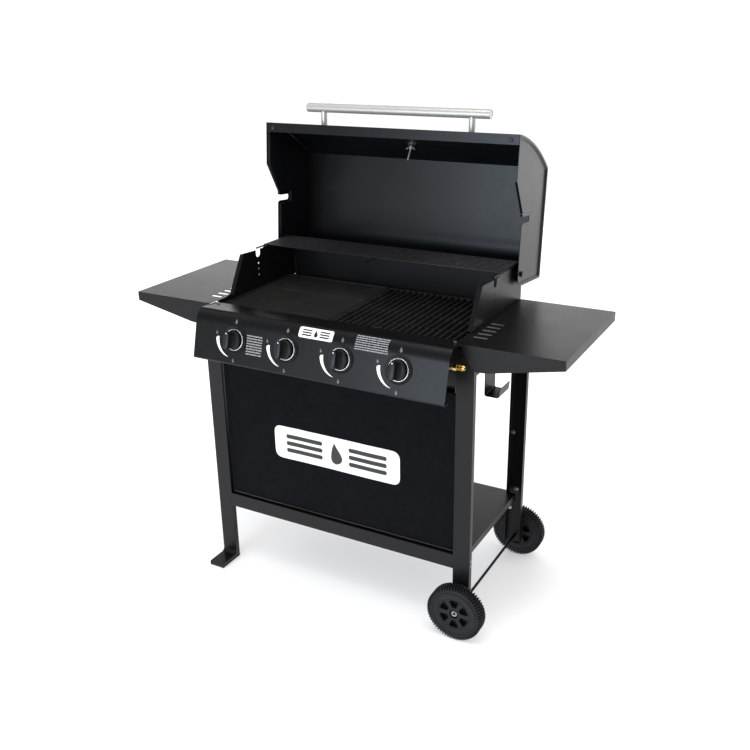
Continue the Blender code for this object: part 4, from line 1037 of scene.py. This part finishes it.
def make_bezel(number):
    place = basis(KNOB_SEATS[number], FASCIA_OUT)
    radius, thick = 0.0366, 0.0030
    plate = lathe([
        (0.0070, 0.0004), (radius - 0.0006, 0.0004), (radius, 0.0010), (radius - 0.0003, 0.0022),
        (radius - 0.0014, thick), (radius - 0.0034, thick - 0.0008), (0.0306, thick - 0.0010),
        (0.0296, thick), (0.0256, thick), (0.0248, thick - 0.0008), (0.0070, thick - 0.0008),
    ], 96, True)
    made = piece(f"bezel_{number}_disc", plate, KNOB, "cart", place, angle=24)
    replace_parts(made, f"bezel_{number}")
    ring = lathe([
        (0.0262, thick - 0.0006), (0.0284, thick - 0.0006), (0.0284, thick + 0.0008),
        (0.0280, thick + 0.0013), (0.0273, thick + 0.0015), (0.0266, thick + 0.0013),
        (0.0262, thick + 0.0008),
    ], 96, True)
    piece(f"bezel_{number}_ring", ring, CHROME, "cart", place, angle=60)


def swoosh_outline(steps=30):
    """A crescent round the knob's left side, which thins out as it rises."""
    rim, first, sweep = 0.0500, 177, 75
    outer = []
    for step in range(steps + 1):
        t = step / steps
        angle = math.radians(first + sweep * t)
        far = rim + 0.0105 * (1 - t) ** 0.75 * min(1.0, (t + 0.02) * 12) ** 0.5
        outer.append((far * math.cos(angle), far * math.sin(angle)))
    return outer + arc((0, 0), rim, first + sweep, first, steps)


def make_station_print(number):
    """The crescent and the three small flames printed round a knob."""
    place, thick = on_panel(KNOB_SEATS[number].x), 0.00015
    label(f"station_{number}_swoosh", [draped_slab(swoosh_outline(), place, thick, 0.006)], WHITE)
    icons = []
    for across, up, height in ((-0.0588, 0.0076, 0.0105), (0.0, 0.0422, 0.0135), (0.0, -0.0612, 0.0120)):
        icons.append(draped_slab(moved(flame_outline(height), across, up), place, thick, 0.004))
    label(f"station_{number}_icons", icons, PALE_PRINT)


WORDS = (7, 4, 9, 5, 3, 8, 6, 4, 10, 5, 7, 3, 6, 9, 4)     # letters in each dash of the small print
LETTER = 0.0012


def make_notice(name, left, right, top, bottom, lines):
    """Lines of plain dashes where the panel carries small print."""
    dashes = []
    pitch = (top - bottom) / lines
    word = len(name)
    for line in range(lines):
        level = top - pitch * (line + 0.5)
        x = left
        while x < right - 0.003:
            end = min(right, x + WORDS[word % len(WORDS)] * LETTER)
            dash = rectangle((x, level - pitch * 0.24), (end, level + pitch * 0.24))
            dashes.append(draped_slab(dash, on_panel(), 0.00012, 0.004))
            x = end + LETTER
            word += 1
    label(name, dashes, SMALL_PRINT)


def super_ring(half_wide, half_long, power, height, count=56):
    """A ring between an ellipse, power 2, and a rounded rectangle."""
    points = []
    for x, y in circle((0, 0), 1, count):
        points.append((math.copysign(abs(x) ** (2 / power), x) * half_wide,
                       math.copysign(abs(y) ** (2 / power), y) * half_long, height))
    return points


def make_knob(number):
    """A round skirt with a bar grip that flares out into it, a face painted paler as a highlight, and a
    white dot.
    """
    body = f"knob_{number}"
    place = basis(KNOB_SEATS[number], FASCIA_OUT)
    bore, back, skirt_top, crown = 0.0045, 0.0078, 0.0143, 0.0377
    skirt = lathe([
        (bore, back), (0.0238, back), (0.0245, back + 0.0008), (0.0245, skirt_top - 0.0030),
        (0.0239, skirt_top - 0.0010), (0.0226, skirt_top), (0.0190, skirt_top + 0.0005),
        (bore, skirt_top + 0.0010),
    ], 96, True)
    half_wide, half_long, power, steps = 0.0074, 0.0222, 3.8, 16
    rings = []
    for step in range(steps + 1):
        t = step / steps
        flare = max(0.0, 1 - t / 0.5) ** 1.3
        level = skirt_top - 0.0015 + (crown - skirt_top + 0.0015) * t
        rings.append(super_ring(half_wide + 0.0068 * flare, half_long + 0.0004 * flare,
                                power - 1.2 * flare, level))
    for wide, long, rise in ((0.96, 0.986, 0.0006), (0.90, 0.965, 0.0009)):
        rings.append(super_ring(half_wide * wide, half_long * long, power, crown + rise))
    made = piece(f"{body}_grip", together([skirt, loft(rings)]), KNOB, body, place, angle=40)
    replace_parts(made, body)
    # the grip's face in the paler copy of the knob plastic: painted highlight
    cover = ((0.0064, 0.0213, 0.0006), (0.0064, 0.0213, 0.0011), (0.0057, 0.0206, 0.0014))
    face = loft([super_ring(wide, long, power, crown + rise) for wide, long, rise in cover])
    piece(f"{body}_face", face, KNOB_FACE_HIGHLIGHT, body, place, angle=30)
    dot = lathe([(0, -0.0006), (0.0016, -0.0006), (0.0016, 0.0002), (0.0012, 0.0003), (0, 0.0003)], 24)
    dot_place = place @ Matrix.Translation((0, 0.0180, crown + 0.0014))
    piece(f"{body}_dot", dot, WHITE, body, dot_place, angle=40)


def make_fascia_badge():
    x, up, thick = 0.004, 0.0515, 0.0005
    plate = rounded(rectangle((-0.050, -0.0140), (0.050, 0.0140)), 0.006, 6)
    label("panel_plate", [draped_slab(plate, on_panel(x, up), thick, 0.0025)], WHITE)
    marks = badge_marks(on_panel(x, up, thick), 0.019, (0.012, 0.040, 0.0019, 0.0018, 4), 0.0065,
                        0.0002, 0.0025, 0.004)
    label("panel_plate_mark", marks, INK)


def make_gas_inlet():
    low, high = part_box("gas_inlet")
    centre = (low + high) / 2
    length = high.x - low.x
    hexagon = slab(circle((0, 0), 0.0092, 6), 0.0, 0.0095)
    profile = [(0, 0.002), (0.0060, 0.002), (0.0060, 0.0140), (0.0072, 0.0146)]
    turns, start = 11, 0.0150
    pitch = (length - 0.0060 - start) / turns
    for turn in range(turns):
        z = start + pitch * turn
        profile += [(0.0078, z + pitch * 0.25), (0.0078, z + pitch * 0.45), (0.0070, z + pitch * 0.80)]
    profile += [(0.0070, length - 0.004), (0.0060, length), (0.0040, length), (0.0040, length - 0.015),
                (0, length - 0.015)]
    made = piece("gas_inlet_fitting", together([hexagon, lathe(profile, 48)]), BRASS, "cart",
                 basis((low.x, centre.y, centre.z), (1, 0, 0)), angle=24)
    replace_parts(made, "gas_inlet")


# ---------------------------------------------------------------- hood
HINGE = Vector(JOINTS["hood_hinge"]["pos_m"])
HOOD_LEAN = math.radians(5.09)
LIP_TOP = (-0.079, 0.361)            # hood's own y and z, from the hinge
LIP_FOOT = (-0.079, 0.245)
CREST_BACK = (0.153, 0.268)
HEEL = (0.1555, -0.033)
CREST_RISE = 0.0165                  # of the curved top over its chord
DIAL_Y = 0.086
PAN_DEPTH = 0.0045


def hood_point(x, y, z):
    """A point given from the hinge, in the hood's own upright axes, as it stands open."""
    c, s = math.cos(HOOD_LEAN), math.sin(HOOD_LEAN)
    return Vector((x, HINGE.y + y * c + z * s, HINGE.z - y * s + z * c))


def hood_direction(y, z):
    return hood_point(0, y, z) - hood_point(0, 0, 0)


def crest(steps=24):
    """Points along the curved top, from the lip back."""
    first, last = Vector(LIP_TOP), Vector(CREST_BACK)
    chord = (last - first).length
    radius = chord * chord / (8 * CREST_RISE) + CREST_RISE / 2
    along = (last - first).normalized()
    left = Vector((-along.y, along.x))
    centre = (first + last) / 2 - left * (radius - CREST_RISE)
    half = math.degrees(math.asin(chord / 2 / radius))
    middle = math.degrees(math.atan2(left.y, left.x))
    return arc(centre, radius, middle + half, middle - half, steps)


def make_handle():
    low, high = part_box("hood_handle_bar")
    centre = (low + high) / 2
    radius = (high.z - low.z) / 2
    reach = (high.x - low.x) / 2
    half = [(0, reach - 0.0012), (radius * 0.80, reach - 0.0010), (radius * 0.84, reach),
            (radius - 0.0008, reach), (radius, reach - 0.0010)]
    profile = [(wide, -along) for wide, along in half] + half[::-1]
    made = piece("hood_handle_tube", lathe(profile, 72), STEEL_X, "hood",
                 basis(centre, (1, 0, 0)), angle=24)
    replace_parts(made, "hood_handle_bar")
    for side, _ in SIDES:
        low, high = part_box(f"handle_post_{side}")
        middle = (low + high) / 2
        for y, z in crest():
            point = hood_point(middle.x, y, z)
            if abs(point.y - middle.y) < 0.006:
                foot = point
        up = Vector((0, centre.y - foot.y, centre.z - foot.z))
        top = up.length - radius * 0.35
        wide = (high.x - low.x) / 2
        post = lathe([(0, 0.0004), (wide - 0.0006, 0.0004), (wide, 0.0012), (wide, top), (0, top)], 48)
        made = piece(f"handle_post_{side}_tube", post, STEEL_Z, "hood",
                     basis(foot, up, (0, 1, 0)), angle=24)
        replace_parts(made, f"handle_post_{side}")


def dial_place():
    """Where the dial sits on the curved top, facing straight out of it."""
    points = crest(120)
    index = min(range(len(points)), key=lambda i: abs(points[i][0] - DIAL_Y))
    along = Vector(points[index + 1]) - Vector(points[index - 1])
    return basis(hood_point(0, *points[index]), hood_direction(-along.y, along.x), hood_direction(*(-along)))


def make_dial(place):
    """The face, its ticks and needle, and the glass over them."""
    face = 0.0048
    piece("thermometer_face", disc(0.0252, face - 0.0005, face, 72), DIAL_FACE, "hood", place,
          angle=24)
    ticks = []
    for step in range(31):
        inner = 0.0185 if step % 5 == 0 else 0.0205
        tick = slab(rectangle((inner, -0.00025), (0.0225, 0.00025)), face, face + 0.0002)
        ticks.append(spun(tick, math.radians(225 - 270 * step / 30)))
    ticks.append(disc(0.0022, face + 0.0002, 0.0062, 24))
    piece("thermometer_ticks", together(ticks), INK, "hood", place, angle=24)
    needle = slab([(-0.0040, -0.0009), (0.0170, -0.00025), (0.0170, 0.00025), (-0.0040, 0.0009)],
                  0.0054, 0.0058)
    piece("thermometer_needle", spun(needle, math.radians(225)), RED, "hood", place, angle=24)
    lens = lathe([(0, 0.0078), (0.0140, 0.0076), (0.0250, 0.0070), (0.0250, 0.0064), (0.0140, 0.0069),
                  (0, 0.0070)], 72)
    piece("thermometer_lens", lens, GLASS, "hood", place, angle=24)


def make_thermometer():
    """A case on the hood with a probe inside it, held by a wing nut."""
    place = dial_place()
    bezel = lathe([
        (0.0250, 0.0020), (0.0285, 0.0010), (0.0296, 0.0016), (0.0300, 0.0040), (0.0298, 0.0080),
        (0.0285, 0.0098), (0.0268, 0.0098), (0.0258, 0.0084), (0.0250, 0.0060),
    ], 96, True)
    case = disc(0.0270, 0.0010, 0.0042, 72)
    probe = lathe([(0, -0.0450), (0.0012, -0.0448), (0.0020, -0.0430), (0.0020, -0.0120),
                   (0.0034, -0.0115), (0.0034, 0.0020), (0, 0.0020)], 32)
    made = piece("thermometer_case", together([bezel, case, probe]), STEEL_Z, "hood", place,
                 angle=24)
    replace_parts(made, "thermometer")
    make_dial(place)
    parts = [lathe([(0.0037, -0.0085), (0.0058, -0.0085), (0.0066, -0.0060), (0.0072, -0.0030),
                    (0.0072, -0.0022), (0.0037, -0.0022)], 36, True)]
    wing = ((0.0045, -0.0035), (0.0090, -0.0042), (0.0155, -0.0120), (0.0120, -0.0135), (0.0050, -0.0085))
    for sign in (-1, 1):
        outline = rounded([(sign * x, z) for x, z in wing], 0.0022, 5)
        parts.append(slab(outline, -0.0011, 0.0011, "y"))
    made = piece("thermometer_wing_nut", together(parts), ZINC, "hood", place, 0.0005)
    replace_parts(made, "thermometer_nut")


def hood_side_outline(steps=6):
    """A hood side's outline from its lower back corner round, counter-clockwise.

    With no steps the notch and the lower corner come out plain, so that the outline can be inset.
    """
    top = [HEEL, CREST_BACK] + crest()[-2::-1] + [LIP_FOOT]
    if not steps:
        return top + [(-0.0235, 0.1640), (-0.0140, 0.1535), (0.0310, 0.1530), (0.0310, 0.1360),
                      (-0.0150, 0.1358), (-0.0228, 0.1270), (-0.0228, -0.0180), (-0.0080, -0.0328)]
    outline = top + [(-0.0245, 0.1655)]
    for centre, radius, start, end in (
            ((-0.0170, 0.1600), 0.0070, 150, 262), ((0.0250, 0.1470), 0.0060, 90, 0),
            ((0.0250, 0.1420), 0.0060, 0, -90), ((-0.0130, 0.1260), 0.0098, 90, 180),
            ((0.0050, -0.0050), 0.0278, 180, 270)):
        outline += arc(centre, radius, start, end, steps)
    return outline


def on_hood(shape):
    """Turns a shape in the hood's own axes to where the open hood stands."""
    for vert in shape.verts:
        vert.co = hood_point(*vert.co)
    return shape


def make_hood_side(side, sign):
    """A side with a shallow pan behind a flat border, and a fold along the notch's upper edge."""
    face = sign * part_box("hood_side_right")[1].x
    plain, full = hood_side_outline(0), hood_side_outline()
    parts = [slab(full, face - sign * SHEET, face, "x", [inset(plain, 0.0050)])]
    step = [(0.0048, 0.0), (0.0062, 0.0006), (0.0094, 0.0040), (0.0110, PAN_DEPTH)]
    back = [(0.0110, PAN_DEPTH + SHEET), (0.0090, 0.0040 + SHEET), (0.0058, 0.0006 + SHEET), (0.0048, SHEET)]
    parts.append(loft([[(face - sign * depth, y, z) for y, z in inset(plain, reach)]
                       for reach, depth in step + back], True))
    parts.append(slab(inset(plain, 0.0106), face - sign * (PAN_DEPTH + SHEET), face - sign * PAN_DEPTH, "x"))
    start = full.index(LIP_FOOT)
    fold = full[start:start + 10] + inset(full, 0.0012)[start:start + 10][::-1]
    parts.append(slab(fold, face - sign * 0.0070, face - sign * 0.0006, "x"))
    made = piece(f"hood_side_{side}_pan", on_hood(together(parts)), ENAMEL, "hood",
                 width=0.0004)
    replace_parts(made, f"hood_side_{side}")
    seat = hood_point(face - sign * 0.024, LIP_TOP[0] - 0.0001, LIP_TOP[1] - 0.0143)
    bolt = lathe([(0, 0), (0.0059, 0), (0.0059, 0.0008), (0.0052, 0.0024), (0.0036, 0.0034), (0, 0.0037)],
                 36)
    piece(f"hood_lip_bolt_{side}", bolt, INK, "hood", basis(seat, hood_direction(-1, 0)))


def make_screws():
    """The fastenings that show on the legs, the firebox and the shelves."""
    leg_front, leg_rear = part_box("leg_front_right"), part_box("leg_rear_right")
    rail, wall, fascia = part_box("front_rail"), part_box("firebox_side_right"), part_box("fascia")
    front_y, rear_y = leg_front[0].y, leg_rear[1].y
    middle_x = (leg_front[0].x + leg_front[1].x) / 2
    for side, sign in SIDES:
        for level, z in (("low", (rail[0].z + rail[1].z) / 2), ("high", 0.668)):
            bolt_head(f"leg_bolt_rear_{side}_{level}", (sign * middle_x, rear_y, z), (0, 1, 0),
                      0.0046, 0.0036)
        for level, z in (("low", 0.196), ("high", 0.212)):
            screw(f"leg_screw_front_{side}_{level}", (sign * leg_front[1].x, front_y + 0.008, z),
                  (sign, 0, 0), 0.0026, 0.0014, ZINC)
    for index, (x, z) in enumerate(((0.368, 0.414), (0.386, 0.235), (0.368, 0.168))):
        bolt_head(f"leg_nut_rear_{index + 1}", (x, rear_y - SHEET, z), (0, -1, 0), 0.0048, 0.0044, ZINC)
    for side, sign in SIDES:
        screw(f"fascia_screw_{side}", (sign * 0.3545, wall[0].y - 0.012, fascia[1].z - 0.0022),
              (0, -0.05, 1), 0.0043, 0.0022, ZINC)
        for index, y in enumerate((wall[0].y + 0.055, wall[0].y + 0.215)):
            screw(f"firebox_screw_{side}_{index + 1}", (sign * wall[1].x, y, 0.760), (sign, 0, 0))
        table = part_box(f"side_shelf_{side}")
        for index, (y, out) in enumerate(((table[0].y, -1), (table[1].y, 1))):
            screw(f"shelf_screw_{side}_{index + 1}", (sign * 0.3885, y, 0.7905), (0, out, 0),
                  0.0036, 0.0022)


def make_foot_caps():
    """A plug in the open end of each foot."""
    for name, out in (("leg_front_left", -1), ("leg_rear_left", 1)):
        low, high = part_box(name)
        end = low.y if out < 0 else high.y
        opening = rectangle((low.x + 0.0018, 0.0004), (low.x + 0.0452, 0.0128))
        plug = slab(opening, end - out * 0.0060, end - out * 0.0010, "y")
        piece(name + "_foot_plug", plug, COAT, "cart", width=0.0008)


def make_cart():
    coat_nodes(("leg_front_left", "leg_front_right", "leg_rear_left", "leg_rear_right", "front_rail",
                "bottom_shelf", "bottle_hook", "firebox_side_left", "firebox_side_right",
                "firebox_front_wall", "firebox_rear_wall", "fascia", "side_shelf_left", "side_shelf_right",
                "tray_runner_left", "tray_runner_right", "grease_tray"), COAT)
    coat_nodes(("hood_shell",), ENAMEL)
    coat_nodes(("flame_tamer_left", "flame_tamer_right"), ALUMINISED, 0.0003)
    coat_nodes(("gas_manifold",), ALUMINISED, 0.0006)
    coat_nodes([f"burner_{n}" for n in STATIONS], ALUMINISED, 0.0006)
    coat_nodes([f"valve_{n}" for n in STATIONS], BRASS, 0.0004)
    coat_nodes([f"valve_stem_{n}" for n in STATIONS], ZINC, 0.0003)
    coat_nodes(("hinge_pin_left", "hinge_pin_right"), AXLE_STEEL, 0.0004)


make_camera()
make_studio()
make_cart()
make_wheel("wheel_front", -1)
make_wheel("wheel_rear", 1)
make_axle()
make_fabric_rods()
make_hem_bead()
make_fabric()
make_hotplate()
make_grill()
make_warming_rack()
for station_number in STATIONS:
    make_bezel(station_number)
    make_station_print(station_number)
    make_knob(station_number)
make_fascia_badge()
make_notice("panel_notice_left", KNOB_SEATS[1].x + 0.039, KNOB_SEATS[1].x + 0.088, 0.021, -0.034, 8)
make_notice("panel_notice_right", KNOB_SEATS[3].x + 0.036, KNOB_SEATS[4].x - 0.034, 0.070, 0.030, 7)
make_gas_inlet()
make_handle()
make_thermometer()
for hood_side, hood_sign in SIDES:
    make_hood_side(hood_side, hood_sign)
make_screws()
make_foot_caps()
